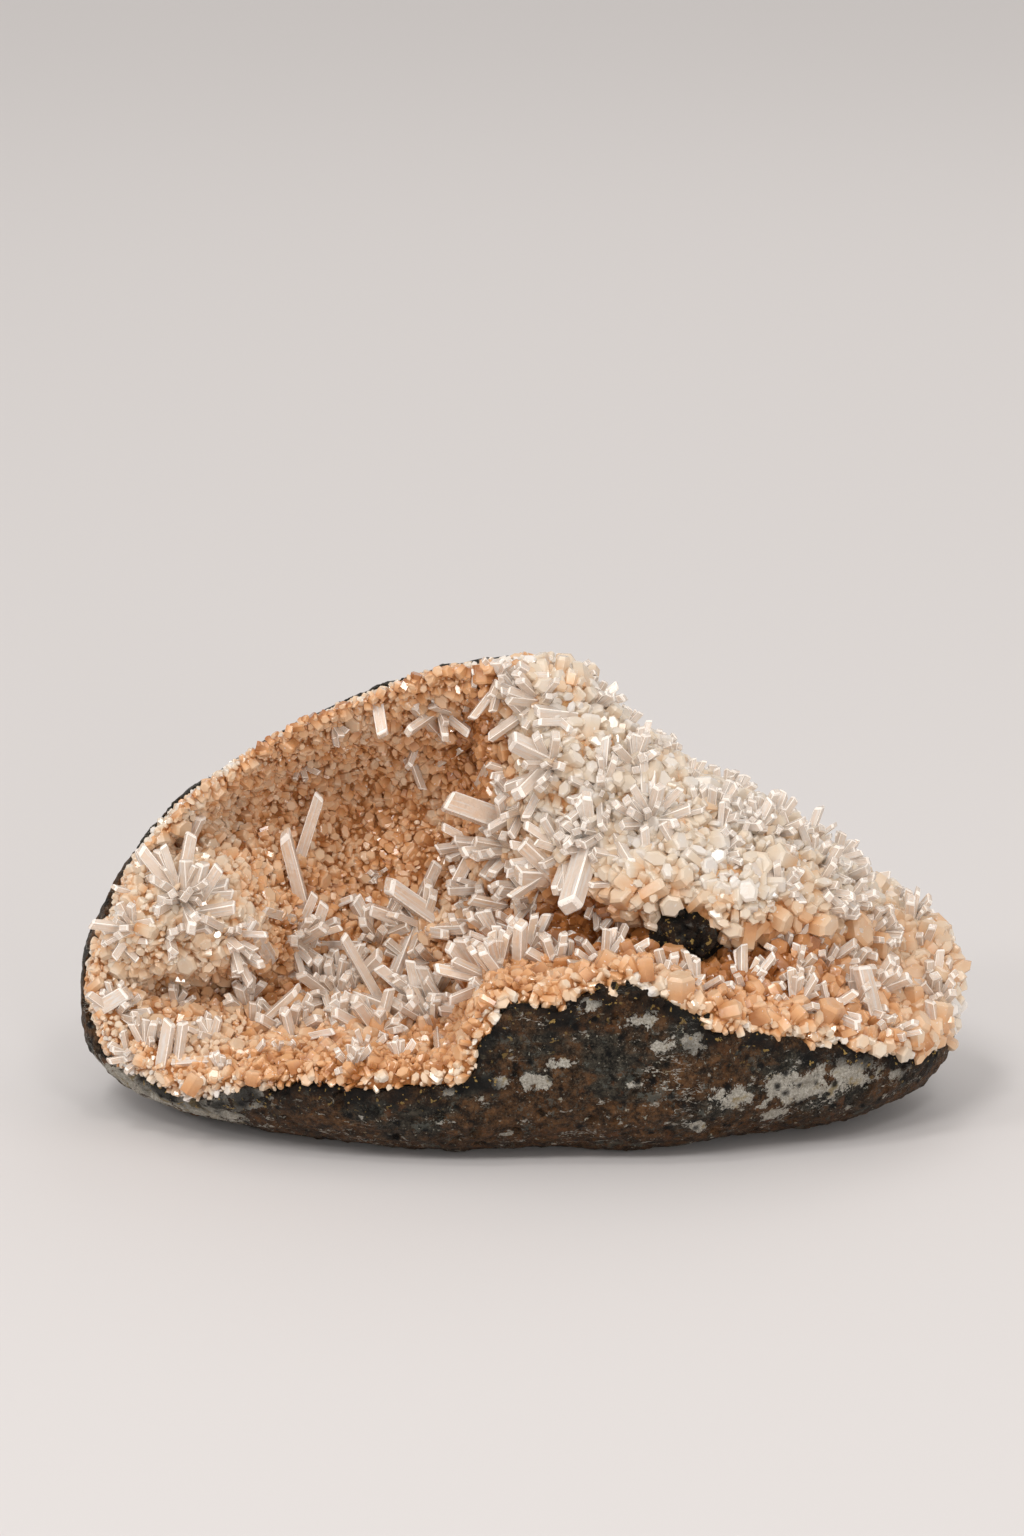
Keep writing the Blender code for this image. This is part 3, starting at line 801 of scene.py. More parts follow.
# Zones of the lining: where each one's middle is, as x in millimetres and a section point's number, how
# far it reaches each way, and what grows there: the small crystals' size in millimetres, how warm their
# color is, from white 0 to orange 1, how many prisms stand on a square centimetre, and their length in
# millimetres
# Warmth above 1 gives deep brown, and in four zones below that deep brown is painted shade
ZONES = (
    (-26, 7.2, 20, 2.5, 1.45, 0.76, 0.4, 3.0),
    (-50, 6.5, 8, 2.6, 1.50, 0.50, 2.0, 3.5),
    (-50, 2.0, 9, 1.4, 1.35, 0.58, 3.0, 3.5),
    (-42, 5.5, 6, 0.9, 2.0, 0.36, 8.0, 4.5),
    # painted shade: deep brown in the crevice under the mound
    (-38, 4.0, 10, 0.7, 1.7, 1.00, 0.5, 3.0),
    (-24, 5.2, 9, 0.8, 1.6, 0.95, 2.0, 3.5),
    (-22, 3.2, 16, 1.2, 1.9, 0.78, 13.0, 5.0),
    (-20, 1.3, 18, 0.6, 1.6, 0.92, 4.0, 3.0),
    # painted shade: deep brown in the cleft between the wall and the ridge
    (-5, 7.0, 3.0, 1.4, 1.6, 1.40, 0.0, 2.0),
    (-6, 5.0, 4, 1.5, 2.0, 0.68, 8.0, 5.0),
    (1, 8.0, 5, 1.0, 2.3, 0.46, 6.0, 3.5),
    (8, 6.3, 9, 1.5, 2.4, 0.30, 9.0, 4.5),
    (28, 6.8, 14, 1.6, 2.3, 0.30, 10.0, 3.8),
    (16, 5.0, 9, 0.5, 2.5, 0.50, 1.0, 3.0),
    # painted shade: deep brown in the recess under the ridge
    (10, 3.6, 12, 1.0, 2.0, 1.45, 4.0, 4.0),
    # painted shade: brown under the overhang of the nose
    (24, 3.0, 18, 1.0, 2.1, 1.15, 3.0, 3.5),
    (12, 1.4, 14, 0.8, 2.0, 0.72, 6.0, 3.0),
    (34, 1.4, 12, 0.8, 2.1, 0.84, 6.0, 3.0),
    (44, 3.0, 8, 1.6, 2.6, 0.82, 12.0, 4.0),
    (54, 5.0, 7, 3.0, 2.9, 0.60, 11.0, 4.0),
    (25, 8.8, 25, 0.8, 2.1, 0.32, 6.0, 3.0),
)
ZONE_DRIFT = 5
LEAST_WEIGHT = 1e-9
# Where the nose starts, as x in millimetres, and the section points where the wall and the ridge start
NOSE_START = -4
WALL_FOOT = 4.4
RIDGE_FOOT = 4.2
# How deep in the nodule, as a share, crystals grow and the crust's rim starts, and what the rim is like
GROWN_DEPTH = 0.985
# painted shade: how much warmer and darker the crust between the crystals is made
GAP_SHADE_WARMTH = 0.3
RIM_DEPTH = 0.94
RIM_STEEPNESS = 0.8
RIM_SIZE = 0.85


def grown_at(point, section_point):
    """Size, warmth, prisms and prism length at a place. The nearer a zone is, the more it counts."""
    total = 0.0
    sums = [0.0] * 4
    x = point.x / MM + ZONE_DRIFT * noise.noise(point / (9 * MM)) + noise.noise(point / (3 * MM))
    section_point += 0.8 * noise.noise(point / (9 * MM) + Vector((0, 7, 0)))
    for middle, middle_point, reach, reach_point, *values in ZONES:
        along = (x - middle) / reach
        up = (section_point - middle_point) / reach_point
        weight = math.exp(-(along**2) - up**2) + LEAST_WEIGHT
        total += weight
        sums = [old + weight * value for old, value in zip(sums, values)]
    return [value / total for value in sums]


class Ground:
    """The swollen lining within the nodule: where crystals may grow, and what grows there."""

    def __init__(self, rows):
        self.rows = rows
        self.width = len(rows[0])
        self.points = [point for row in rows for point in row]
        self.values = [grown_at(point, j / STEPS) for row in rows for j, point in enumerate(row)]
        squares = [
            square_at(i * self.width + j, self.width)
            for i in range(len(rows) - 1)
            for j in range(self.width - 1)
        ]
        self.squares = [square for square in squares if self.inside(square)]
        self.surface = BVHTree.FromPolygons(self.points, self.squares)
        self.near = near_points(self.points)

    def inside(self, square):
        middle = sum((self.points[k] for k in square), Vector()) / 4
        bare = (middle - WINDOW_MIDDLE).length < WINDOW_BARE and middle.z > WINDOW_LOWEST
        return skin_depth(middle) < GROWN_DEPTH and not bare

    def nearest(self, place):
        """What grows on the lining at the point nearest to this place."""
        return self.values[self.near.find(place)[1]]

    def patch(self, name, wanted):
        """The squares that are wanted by x in millimetres and section point, with what grows on them."""
        squares = [
            square
            for square in self.squares
            if wanted(self.points[square[0]].x / MM, square[0] % self.width / STEPS)
        ]
        mesh, used = part_of(name, self.points, squares)
        carry(mesh, "size", [self.values[k][0] * MM for k in used])
        carry(mesh, "warmth", [self.values[k][1] for k in used])
        carry(mesh, "growth", [1.0] * len(used))
        return add_object(name, mesh)

    def mark(self, mesh):
        """Gives each point of a mesh the warmth of the lining nearest to it, made warmer and deeper as
        painted shade between the crystals.
        """
        warmth = [GAP_SHADE_WARMTH + self.nearest(vert.co)[1] for vert in mesh.vertices]
        carry(mesh, "warmth", warmth)
        carry(mesh, "tone", [0.5] * len(warmth))
        # painted shade: a low rise makes the crust's colour deeper still
        carry(mesh, "rise", [0.2] * len(warmth))

    def rim_patch(self, name, crust):
        """The crust's outer edge, where its broken rim shows all round the hollow."""
        points = [vert.co for vert in crust.data.vertices]
        faces = [tuple(face.vertices) for face in crust.data.polygons if self.on_rim(face)]
        mesh, used = part_of(name, points, faces)
        places = [points[k] for k in used]
        nearest = [self.nearest(place) for place in places]
        carry(mesh, "size", [RIM_SIZE * size * MM for size, *_ in nearest])
        stains = [0.7 * noise.noise(place / (2.5 * MM)) for place in places]
        warmth = [0.15 + 0.55 * warm + stain for (_, warm, *_), stain in zip(nearest, stains)]
        carry(mesh, "warmth", warmth)
        carry(mesh, "growth", [1.0] * len(used))
        return add_object(name, mesh)

    @staticmethod
    def on_rim(face):
        x, y, z = face.center
        out = Vector((x / HALF_LENGTH**2, y / HALF_DEPTH**2, (z - WIDEST_LEVEL) / CROWN_RISE**2))
        return skin_depth(face.center) > RIM_DEPTH and face.normal.dot(out.normalized()) > RIM_STEEPNESS


def part_of(name, points, faces):
    """A mesh of these faces and the points that they use, and which points those are."""
    used = sorted({k for face in faces for k in face})
    number = {k: index for index, k in enumerate(used)}
    mesh = bpy.data.meshes.new(name)
    mesh.from_pydata([points[k] for k in used], [], [[number[k] for k in face] for face in faces])
    return mesh, used


def carry(mesh, name, values):
    mesh.attributes.new(name, "FLOAT", "POINT").data.foreach_set("value", values)


def near_points(points):
    """A tree that finds the nearest of the points."""
    near = KDTree(len(points))
    for index, point in enumerate(points):
        near.insert(point, index)
    near.balance()
    return near


# Long prisms as the photograph shows them, in its pixels: tip, root, width
PRISMS = (
    ((320, 794), (300, 857), 12), ((284, 832), (305, 913), 13), ((201, 816), (183, 855), 11),
    ((186, 859), (188, 893), 13), ((203, 862), (193, 897), 14), ((220, 866), (200, 898), 13),
    ((236, 907), (203, 913), 12), ((154, 920), (126, 925), 8), ((152, 932), (124, 932), 8),
    ((149, 942), (122, 939), 8), ((138, 961), (122, 945), 8), ((113, 887), (131, 892), 8),
    ((325, 902), (310, 945), 12), ((355, 897), (335, 905), 9), ((262, 910), (289, 918), 10),
    ((247, 922), (266, 955), 16), ((289, 938), (309, 955), 16), ((368, 905), (367, 932), 11),
    ((438, 862), (420, 902), 12), ((387, 884), (435, 918), 17), ((418, 958), (416, 928), 10),
    ((392, 981), (411, 932), 14), ((342, 935), (378, 998), 15), ((335, 1028), (314, 967), 12),
    ((343, 1001), (322, 970), 14), ((345, 1031), (348, 998), 12), ((285, 1010), (292, 1038), 10),
    ((335, 1031), (292, 1040), 12), ((299, 988), (259, 1025), 12), ((305, 1008), (304, 1025), 8),
    ((421, 965), (438, 1008), 14), ((406, 988), (425, 1005), 9), ((418, 1021), (365, 1001), 20),
    ((405, 1035), (358, 1011), 16), ((451, 915), (464, 945), 11), ((448, 945), (474, 977), 12),
    ((481, 948), (501, 975), 14), ((468, 915), (494, 932), 12), ((521, 922), (519, 965), 13),
    ((411, 703), (441, 736), 11), ((431, 705), (461, 716), 9), ((383, 736), (378, 705), 12),
    ((408, 768), (416, 746), 10), ((463, 748), (441, 763), 9), ((445, 800), (501, 820), 22),
    ((522, 806), (501, 812), 10), ((491, 763), (478, 789), 10), ((496, 776), (513, 797), 8),
    ((455, 885), (471, 855), 13), ((516, 875), (550, 877), 18), ((484, 879), (504, 852), 14),
    ((476, 852), (498, 845), 12), ((170, 1020), (163, 1060), 12), ((183, 1021), (178, 1058), 12),
    ((226, 1060), (183, 1063), 11), ((128, 992), (106, 1005), 16), ((440, 1054), (438, 1031), 9),
    ((265, 1041), (251, 1059), 6), ((475, 680), (467, 703), 9), ((496, 660), (510, 680), 14),
    ((516, 667), (531, 676), 14), ((501, 673), (515, 690), 9), ((511, 701), (530, 720), 11),
    ((535, 711), (566, 715), 12), ((535, 723), (566, 723), 12), ((510, 740), (549, 759), 20),
    ((516, 796), (546, 766), 15), ((641, 726), (636, 758), 8), ((657, 751), (632, 768), 9),
    ((543, 816), (556, 839), 10), ((521, 842), (553, 872), 17), ((569, 909), (589, 842), 22),
    ((589, 885), (609, 884), 8), ((593, 852), (613, 856), 10), ((632, 866), (616, 839), 12),
    ((579, 794), (593, 816), 11), ((644, 826), (646, 852), 9), ((662, 822), (676, 846), 10),
    ((745, 869), (785, 882), 17), ((802, 905), (787, 882), 10), ((850, 870), (828, 862), 9),
    ((856, 912), (831, 895), 14), ((692, 786), (698, 806), 6), ((709, 786), (719, 810), 8),
    ((735, 799), (747, 822), 10), ((752, 799), (757, 826), 8), ((778, 809), (789, 838), 12),
    ((798, 822), (810, 852), 12), ((460, 938), (480, 972), 14), ((470, 948), (496, 975), 12),
    ((613, 972), (629, 952), 9), ((543, 935), (556, 948), 12), ((861, 965), (875, 1021), 16),
    ((924, 973), (944, 986), 14), ((930, 1000), (934, 1027), 10), ((901, 985), (928, 988), 14),
    ((885, 905), (891, 922), 15), ((802, 928), (828, 928), 14), ((771, 902), (772, 932), 9),
)
# Bursts of prisms, in the photograph's pixels: middle, then how far its roots spread and its prisms' length
# in millimetres, and how many there are
BURSTS = (
    ((182, 893), 1.6, 6.0, 26), ((128, 930), 1.0, 4.0, 12), ((230, 935), 1.6, 4.5, 14),
    ((300, 945), 1.8, 6.0, 18), ((335, 990), 2.0, 6.5, 22), ((375, 935), 1.6, 6.0, 14),
    ((420, 925), 1.5, 6.5, 14), ((425, 1000), 1.8, 6.0, 16), ((380, 1025), 2.0, 5.5, 16),
    ((290, 1025), 1.6, 5.0, 12), ((490, 975), 1.6, 6.0, 14), ((525, 950), 1.6, 5.0, 12),
    ((472, 905), 1.4, 5.0, 8), ((505, 850), 1.5, 6.0, 16), ((560, 855), 1.8, 6.0, 14),
    ((590, 845), 1.6, 5.5, 12), ((545, 770), 1.6, 5.0, 12), ((535, 705), 1.8, 4.5, 16),
    ((500, 680), 1.5, 4.0, 12), ((600, 790), 1.8, 4.5, 14), ((650, 815), 1.8, 5.0, 16),
    ((640, 765), 1.2, 4.5, 8), ((720, 815), 2.0, 4.5, 18), ((775, 830), 2.0, 4.5, 14),
    ((820, 860), 1.5, 4.0, 12), ((870, 935), 1.8, 4.0, 12), ((920, 950), 1.8, 4.0, 12),
    ((860, 1000), 1.6, 5.0, 10), ((925, 1005), 1.5, 4.0, 8), ((600, 960), 1.8, 4.0, 12),
    ((560, 990), 1.5, 3.5, 8), ((440, 715), 1.0, 4.5, 5), ((410, 760), 1.0, 3.5, 4),
    ((120, 1010), 1.5, 3.5, 12), ((140, 1050), 1.8, 3.0, 12), ((350, 1060), 1.4, 3.0, 10),
    ((745, 985), 1.6, 4.0, 12), ((800, 1005), 1.6, 4.0, 12), ((700, 985), 1.4, 3.5, 10),
    ((830, 960), 1.6, 4.5, 12), ((890, 1030), 1.4, 3.5, 8), ((640, 975), 1.4, 3.5, 10),
    ((780, 950), 1.4, 4.0, 10), ((720, 950), 1.4, 3.5, 8), ((850, 1035), 1.4, 3.0, 8),
    ((765, 1030), 1.2, 3.0, 8), ((540, 1000), 1.4, 3.5, 10), ((505, 1005), 1.2, 3.5, 8),
    ((620, 985), 1.4, 3.5, 10), ((670, 975), 1.4, 3.5, 10), ((520, 925), 1.4, 4.5, 8),
)
# Rounded masses of crystals and hollows between them, in the photograph's pixels: middle, then reach and
# height in millimetres
MASSES = (
    ((640, 885), 3.2, 2.2), ((612, 905), 2.4, 1.8), ((672, 872), 2.4, 1.5), ((140, 930), 3.0, 1.8),
    ((225, 930), 4.5, 1.6), ((150, 1070), 3.5, 1.2), ((485, 985), 3.0, 1.6), ((352, 1000), 4.0, 1.5),
    ((430, 960), 3.5, 1.2), ((735, 905), 3.5, 1.6), ((790, 965), 3.0, 1.2), ((865, 1000), 4.0, 1.5),
    ((925, 985), 3.0, 1.4), ((565, 690), 3.0, 1.4), ((700, 820), 3.5, 1.4), ((560, 770), 3.5, 1.2),
    ((478, 760), 2.5, -2.2), ((155, 995), 2.5, -1.6), ((450, 1045), 2.2, -1.6), ((600, 938), 4.0, -3.2),
    ((268, 880), 2.5, -1.0), ((745, 945), 2.5, -1.4), ((895, 1010), 1.6, -1.4), ((915, 955), 1.5, -1.2),
)
# Cream zeolite left on the basalt: each patch's middle in the photograph's pixels, and its reach in
# millimetres
CREAM_PATCHES = (
    ((800, 1088), 9.0), ((850, 1075), 7.0), ((735, 1098), 5.0), ((775, 1112), 3.5), ((690, 1045), 3.5),
    ((660, 1048), 2.0), ((648, 1018), 2.2), ((632, 1022), 2.0), ((535, 1080), 3.0), ((560, 1063), 2.0),
    ((640, 1085), 2.0), ((195, 1104), 12.0), ((160, 1088), 8.0), ((235, 1092), 8.0), ((590, 1005), 2.5),
    ((700, 1125), 2.5), ((500, 1082), 2.0), ((900, 1075), 3.0), ((395, 1085), 2.0), ((450, 1092), 1.8),
    ((125, 1080), 8.0), ((150, 1096), 10.0), ((100, 1062), 5.0),
)
CREAM_BEHIND = 26
CREAM_STRETCH = Vector((0.75, 1, 1.5))

PRISM_LIFT = 0.45
PRISM_CLEAR = 1.0 * MM
PRISM_ROOT = 1.4 * MM
SEEN_FLATNESS = (0.6, 0.9)
FLATNESS = (0.6, 0.95)
SLENDERNESS = (0.12, 0.20)
LEAST_WIDTH = 0.55 * MM
BURST_STRAY = 0.35
BURST_ROOTS = 0.7
SPRAY = 5
SPRAY_LEAN = 0.5
SPRAY_ROOTS = 0.7 * MM
SPRAY_LOWEST = 0.25
SPRAY_OUTSIDE = 1.02
SQUARE_CENTIMETRE = (10 * MM) ** 2

# The black lumps at the contact and in the window: where they sit from it, how far they stray and how far
# they reach, both in millimetres, and how far round them the stone is darkened to near-black
CONTACT_ENDS = (-52 * MM, 55 * MM)
KNOBS_FROM = -36 * MM
KNOB_PLACE = Vector((0, 1.6, -0.8)) * MM
KNOB_STRAY = 0.5
KNOBS_EACH = 3
WINDOW_KNOB_PLACE = WINDOW_MIDDLE + Vector((0, -3.4, 0)) * MM
WINDOW_KNOB_STRAY = 1.3
WINDOW_KNOBS = 50
KNOB_STRAY_DEEP = 0.6
KNOB_REACH = (0.3, 0.9)
BLACKENING_IN_WINDOW = 4 * MM
BLACKENING_AT_CONTACT = 3.5 * MM
MOST_BLACKENING = 0.9


def line_of_sight(pixel):
    """The photograph's eye, and the direction in which it sees this pixel."""
    right = (pixel[0] - FRAME_MIDDLE[0]) * PIXEL
    down = (pixel[1] - FRAME_MIDDLE[1]) * PIXEL
    seen = VIEW_TARGET + Vector((right, -down * math.sin(VIEW_DOWN), -down * math.cos(VIEW_DOWN)))
    return VIEW_EYE, (seen - VIEW_EYE).normalized()


def photographed_prisms(ground, chance):
    """The prisms that the photograph shows, as root, tip, width and flatness."""
    prisms = []
    for tip_seen, root_seen, width_seen in PRISMS:
        eye, sight = line_of_sight(root_seen)
        root, _, _, root_far = ground.surface.ray_cast(eye, sight)
        if root is None:
            continue
        eye, sight = line_of_sight(tip_seen)
        tip_far = root_far - math.dist(tip_seen, root_seen) * PIXEL * PRISM_LIFT
        behind = ground.surface.ray_cast(eye, sight)[3]
        if behind is not None:
            tip_far = min(tip_far, behind - PRISM_CLEAR)
        flatness = chance.uniform(*SEEN_FLATNESS)
        prisms.append((root, eye + sight * tip_far, width_seen * PIXEL, flatness))
    return prisms


def is_within_size(point):
    return all(low < value < high for low, value, high in zip(cad_bounds[0], point, cad_bounds[1]))


def burst_prisms(ground, chance):
    """The bursts' prisms, which lean out of each one's middle on all sides."""
    prisms = []
    for pixel, spread, length, count in BURSTS:
        middle, normal, _, _ = ground.surface.ray_cast(*line_of_sight(pixel))
        if middle is None:
            continue
        for _ in range(count):
            lean = Vector([chance.gauss(0, 1) for _ in range(3)])
            lean -= normal * lean.dot(normal)
            stray = Vector([chance.gauss(0, BURST_STRAY) for _ in range(3)])
            direction = (normal * 0.9 + lean * 0.7 + stray).normalized()
            reach = length * MM * chance.uniform(0.5, 1.1)
            root = middle + (lean * spread * BURST_ROOTS + stray) * MM
            tip = root + direction * reach
            width = reach * chance.uniform(*SLENDERNESS) + LEAST_WIDTH
            if is_within_size(tip):
                prisms.append((root, tip, width, chance.uniform(*FLATNESS)))
    return prisms


def chance_prisms(ground, chance):
    """Prisms that stand at random between the photographed ones, as thick as each zone says."""
    prisms = []
    for square in ground.squares:
        a, b, c, d = (ground.points[k] for k in square)
        area = (c - a).cross(d - b).length / 2
        _, _, density, length = ground.values[square[0]]
        expected = area * density / SQUARE_CENTIMETRE / SPRAY
        for _ in range(int(expected) + (chance.random() < expected % 1)):
            share = chance.random(), chance.random()
            middle = a.lerp(b, share[0]).lerp(d.lerp(c, share[0]), share[1])
            if (middle - WINDOW_MIDDLE).length < WINDOW_CLEAR:
                continue
            normal = (b - a).cross(d - a).normalized()
            long = chance.uniform(0.7, 1.2)
            for _ in range(chance.randint(2, 2 * SPRAY - 2)):
                lean = Vector([chance.gauss(0, SPRAY_LEAN) for _ in range(3)])
                direction = (normal + lean).normalized()
                if direction.dot(normal) < SPRAY_LOWEST:
                    direction = (direction + normal * 0.8).normalized()
                root = middle + (lean - normal * lean.dot(normal)) * SPRAY_ROOTS
                reach = length * MM * long * chance.uniform(0.6, 1.15)
                tip = root + direction * reach
                if is_within_size(tip) and skin_depth(tip) < SPRAY_OUTSIDE:
                    width = reach * chance.uniform(*SLENDERNESS) + LEAST_WIDTH
                    prisms.append((root, tip, width, chance.uniform(*FLATNESS)))
    return prisms


def standing(name, prisms, crystal, tree, finishes, ground, chance):
    """The prisms or knobs as one mesh, each with its root sunk in what it stands on."""
    mesh = bpy.data.meshes.new(name)
    directions = [(tip - root).normalized() for root, tip, _, _ in prisms]
    mesh.from_pydata([root - d * PRISM_ROOT for (root, *_), d in zip(prisms, directions)], [], [])
    mesh.attributes.new("direction", "FLOAT_VECTOR", "POINT").data.foreach_set(
        "vector", [part for direction in directions for part in direction]
    )
    carry(mesh, "length", [(tip - root).length + PRISM_ROOT for root, tip, _, _ in prisms])
    carry(mesh, "width", [width for _, _, width, _ in prisms])
    carry(mesh, "flatness", [flatness for *_, flatness in prisms])
    carry(mesh, "spin", [chance.uniform(0, math.tau) for _ in prisms])
    carry(mesh, "warmth", [ground.nearest(root)[1] for root, *_ in prisms])
    obj = add_object(name, mesh)
    change = obj.modifiers.new("prisms", "NODES")
    change.node_group = tree
    give(change, {"Crystal": crystal, "Finish": finishes[0], "Edge Finish": finishes[-1]})
    return plain(obj, name)


def druse(obj, crystal, tree, finish, spacing, grow, seed):
    """Small crystals over a patch, as one mesh in its place: this far apart and grown by this share."""
    change = obj.modifiers.new("druse", "NODES")
    change.node_group = tree
    values = {"Crystal": crystal, "Spacing": spacing, "Least Size": 0.4, "Tilt": 1.1}
    give(change, values | {"Seed": seed, "Grow": grow, "Finish": finish})
    return plain(obj, obj.name)


def front_contact(rows):
    """Where the basalt's broken face meets its skin in front."""
    left, right = CONTACT_ENDS
    steps = [(below, above) for row in rows for below, above in zip(row, row[1:])]
    crossing = [(below, above) for below, above in steps if skin_depth(below) > 1 >= skin_depth(above)]
    return [above for below, above in crossing if left < below.x < right and below.y < 0]


def contact_knobs(rows, chance):
    """Black lumps of basalt along the front of the contact and in the window, as prisms are given."""
    edge = [place for place in front_contact(rows) if place.x > KNOBS_FROM]
    places = [(place + KNOB_PLACE, KNOB_STRAY) for place in edge for _ in range(KNOBS_EACH)]
    places += [(WINDOW_KNOB_PLACE, WINDOW_KNOB_STRAY)] * WINDOW_KNOBS
    knobs = []
    for place, stray in places:
        strays = (stray, KNOB_STRAY_DEEP, stray)
        root = place + Vector([chance.gauss(0, spread) for spread in strays]) * MM
        reach = chance.uniform(*KNOB_REACH) * MM
        tip = root + Vector([chance.gauss(0, 1) for _ in range(3)]).normalized() * reach * 0.4
        knobs.append((root, tip, 0.8 * MM + reach * 0.7, chance.uniform(0.7, 1.0)))
    return knobs


def mark_stone(mesh, rows, chance):
    """Says where cream zeolite is left on the stone, and where it is darkened to near-black."""
    points = [vert.co for vert in mesh.vertices]
    surface = BVHTree.FromPolygons(points, [face.vertices for face in mesh.polygons])
    patches = []
    for pixel, reach in CREAM_PATCHES:
        place = surface.ray_cast(*line_of_sight(pixel))[0]
        if place is not None:
            patches.append((place, reach * MM))
    for _ in range(CREAM_BEHIND):
        sides = [chance.uniform(*limits) for limits in ((-1, 1), (0.1, 1), (-0.5, 0.6))]
        patches.append((skin_point(Vector(sides).normalized()), chance.uniform(1.5, 5) * MM))
    cream = [
        max(1 - ((point - place) * CREAM_STRETCH).length / reach for place, reach in patches)
        for point in points
    ]
    carry(mesh, "cream", [max(value, 0) for value in cream])
    near = near_points(front_contact(rows))
    soot = []
    for point in points:
        in_window = 2 - (point - WINDOW_MIDDLE).length / BLACKENING_IN_WINDOW
        at_contact = 1.1 - near.find(point)[2] / BLACKENING_AT_CONTACT + noise.noise(point / (2.5 * MM))
        soot.append(min(max(in_window, at_contact, 0), MOST_BLACKENING))
    carry(mesh, "soot", soot)


def window_plug(name):
    """The knob of basalt that shows through the crust's window."""
    bm = bmesh.new()
    bmesh.ops.create_icosphere(bm, subdivisions=5, radius=WINDOW_REACH)
    for vert in bm.verts:
        grow = 1 + 0.35 * noise.noise(vert.co / (2.5 * MM))
        x, y, z = vert.co
        vert.co = WINDOW_MIDDLE + Vector((x, y * WINDOW_DEPTH + WINDOW_BACK, z)) * grow
    return add_object(name, mesh_of(name, bm))


def add_stage():
    """A plain pale floor under soft light, seen from the photograph's angle."""
    bm = bmesh.new()
    bmesh.ops.create_grid(bm, x_segments=1, y_segments=1, size=8)
    floor_finish = Finish("floor")
    floor_finish.set(Base_Color=(0.65, 0.615, 0.60, 1.0), Roughness=0.75)
    floor = add_object("floor", mesh_of("floor", bm), floor_finish.material)

    world = bpy.data.worlds.new("studio")
    bpy.context.scene.world = world
    world.use_nodes = True
    background = world.node_tree.nodes["Background"]
    background.inputs["Color"].default_value = (1.0, 0.98, 0.96, 1.0)
    background.inputs["Strength"].default_value = 0.68
    bpy.context.scene.view_settings.view_transform = "Standard"

    middle = Vector((0, 0, 30 * MM))
    for name, place, size, power in (
        ("fill", (0.9, -0.7, 0.5), 0.6, 0.5),
        ("back", (0.2, 0.9, 0.8), 0.5, 1.0),
        ("high_glint", (0.25, -0.7, 0.8), 0.16, 1.3),
        ("side_glint", (-0.7, -0.5, 0.5), 0.16, 1.5),
        ("low_glint", (0.25, -1.1, 0.28), 0.16, 2.6),
        ("top_glint", (-0.3, -0.35, 1.0), 0.16, 1.2),
    ):
        light = bpy.data.lights.new(name, "AREA")
        light.size = size
        light.energy = power
        lamp = bpy.data.objects.new(name, light)
        lamp.location = place
        lamp.rotation_euler = (middle - lamp.location).to_track_quat("-Z", "Y").to_euler()
        bpy.context.scene.collection.objects.link(lamp)

    sun = bpy.data.lights.new("key", "SUN")
    sun.energy = 0.65
    sun.angle = math.radians(14)
    key = bpy.data.objects.new("key", sun)
    key.rotation_euler = Vector((-0.35, -0.75, 0.9)).to_track_quat("Z", "Y").to_euler()
    bpy.context.scene.collection.objects.link(key)

    camera = bpy.data.objects.new("camera", bpy.data.cameras.new("camera"))
    camera.location = VIEW_EYE
    camera.rotation_euler = (math.pi / 2 - VIEW_DOWN, 0, 0)
    camera.data.sensor_width = SENSOR
    camera.data.lens = SENSOR * VIEW_FAR / (FRAME_HEIGHT_PIXELS * PIXEL)
    camera.data.clip_start = 10 * MM
    bpy.context.scene.collection.objects.link(camera)
    bpy.context.scene.camera = camera


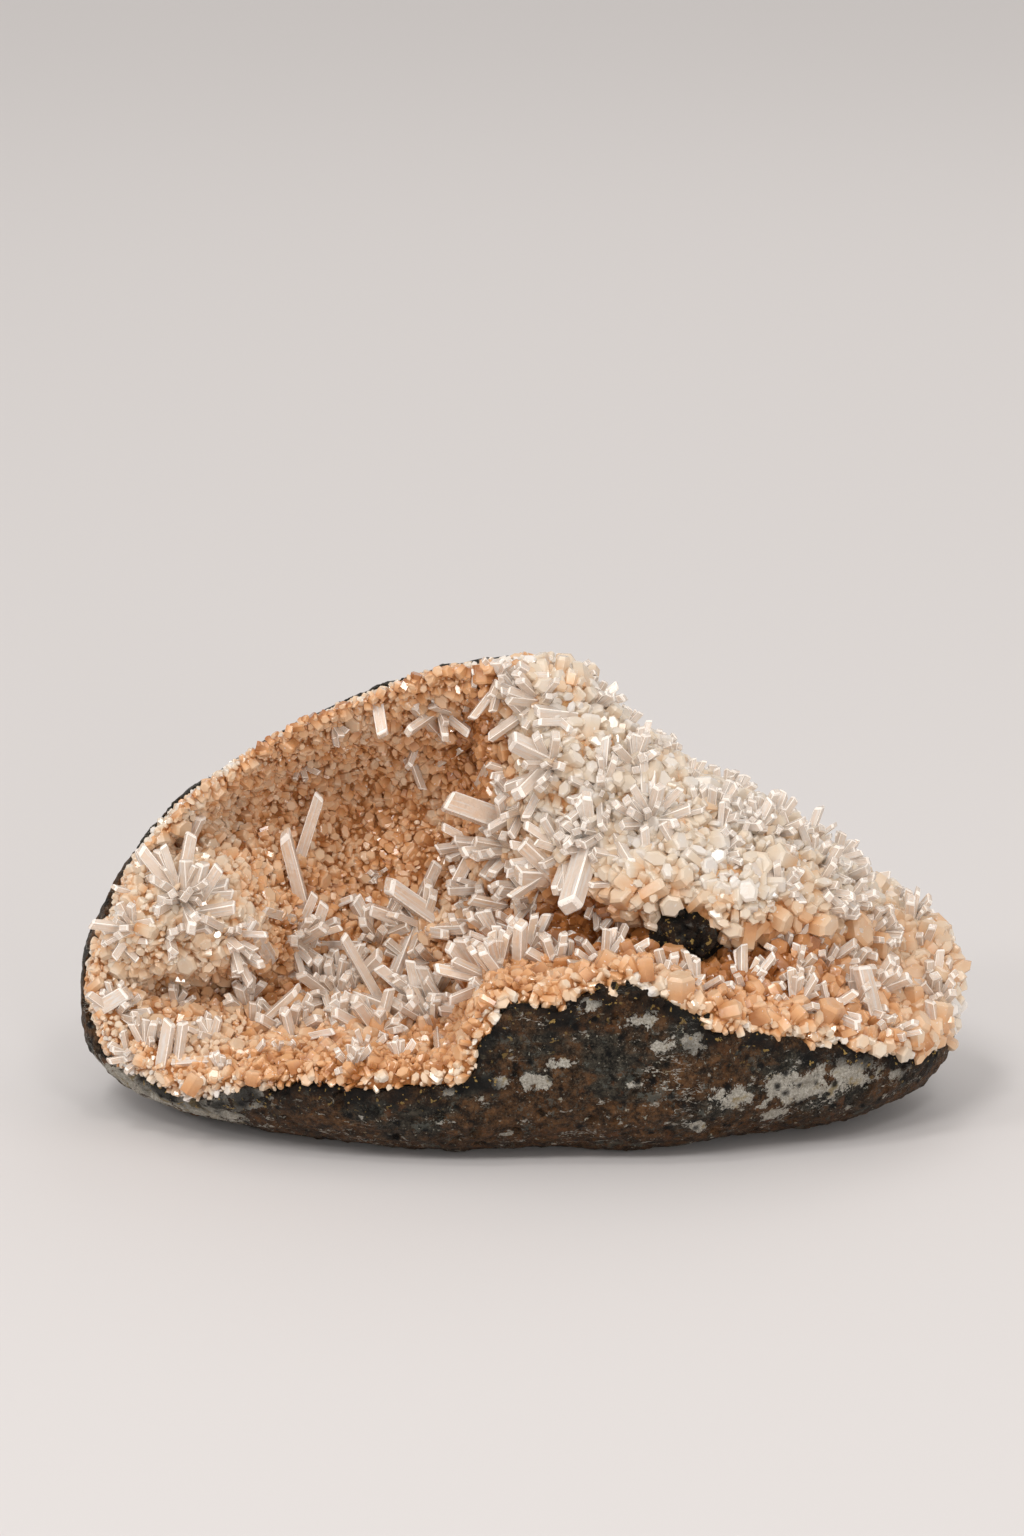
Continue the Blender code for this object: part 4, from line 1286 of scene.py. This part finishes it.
def main():
    add_stage()
    chance = random.Random(7)
    ground = Ground(swollen(lining(STEPS)))
    rock_face = ragged(refined(sunk(lining(FACE_STEPS), FACE_STEPS), STEPS // FACE_STEPS))
    grain = grain_tree()

    basalt = basalt_finish()
    stone = nodule("stone_blank", basalt)
    stone = cut_or_join(stone, "DIFFERENCE", block_beside("open_side", rock_face, AIR_CORNERS))
    stone = cut_or_join(stone, "UNION", window_plug("window_plug"))
    broken = {"Grain": 2.2 * MM, "Pit Depth": 0.8 * MM, "Flat Below": 0.4 * MM, "Finish": basalt}
    stone = roughened(stone, "basalt_stone", STONE_GRAIN, grain, broken)
    mark_stone(stone.data, rock_face, chance)

    crust = nodule("crust_blank", crust_finish(), CRUST_INSET)
    crust = cut_or_join(crust, "DIFFERENCE", block_beside("air", ground.rows, AIR_CORNERS))
    crust = cut_or_join(crust, "DIFFERENCE", block_beside("rock", rock_face, ROCK_CORNERS))
    rim = ground.rim_patch("rim_druse", crust)
    sugary = {"Grain": 1.0 * MM, "Pit Depth": 0.3 * MM, "Flat Below": -1.0}
    sugary["Finish"] = crust.data.materials[0]
    crust = roughened(crust, "crystal_crust", CRUST_GRAIN, grain, sugary)
    ground.mark(crust.data)

    block, blade, knob = blocky_crystal(), long_crystal(), basalt_knob()
    growing, standing_tree = druse_tree(), prism_tree()
    sugar = druse_finish("sugary_druse", 0.22)
    pearl = druse_finish("pearly_druse", 0.3)
    # Name, where it grows by x in millimetres and section point, finish, spacing in millimetres, growth
    growths = (
        ("wall_druse", lambda x, t: x < NOSE_START and t > WALL_FOOT, sugar, 0.66, 1.0),
        ("floor_druse", lambda x, t: x < NOSE_START and t <= WALL_FOOT, sugar, 0.72, 1.0),
        ("ridge_druse", lambda x, t: x >= NOSE_START and t > RIDGE_FOOT, pearl, 0.95, 1.0),
        ("front_druse", lambda x, t: x >= NOSE_START and t <= RIDGE_FOOT, sugar, 0.9, 1.0),
        ("druse_knobs", lambda x, t: True, pearl, 2.6, 1.4),
    )
    pieces = []
    for seed, (name, wanted, finish, spacing, grow) in enumerate(growths, 1):
        patch = ground.patch(name, wanted)
        pieces.append(druse(patch, block, growing, finish, spacing * MM, grow, seed))
    pieces.append(druse(rim, block, growing, sugar, 0.7 * MM, 1.0, len(growths) + 1))
    clear = prism_finish(), edge_highlight_finish()
    seen = photographed_prisms(ground, chance) + burst_prisms(ground, chance)
    between = chance_prisms(ground, chance)
    pieces.append(standing("large_prisms", seen, blade, standing_tree, clear, ground, chance))
    pieces.append(standing("small_prisms", between, blade, standing_tree, clear, ground, chance))
    lumps = contact_knobs(rock_face, chance)
    black = standing("contact_knobs", lumps, knob, standing_tree, [basalt], ground, chance)
    carry(black.data, "cream", [0.0] * len(black.data.vertices))
    # the knobs are darkened to near-black as well
    carry(black.data, "soot", [0.8] * len(black.data.vertices))
    for spare in (block, blade, knob):
        bpy.data.objects.remove(spare)

    for piece in (stone, black):
        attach(piece, "root")
        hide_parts("basalt_matrix")
    for piece in (crust, *pieces):
        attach(piece, "root")
        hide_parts("heulandite_crust")


main()
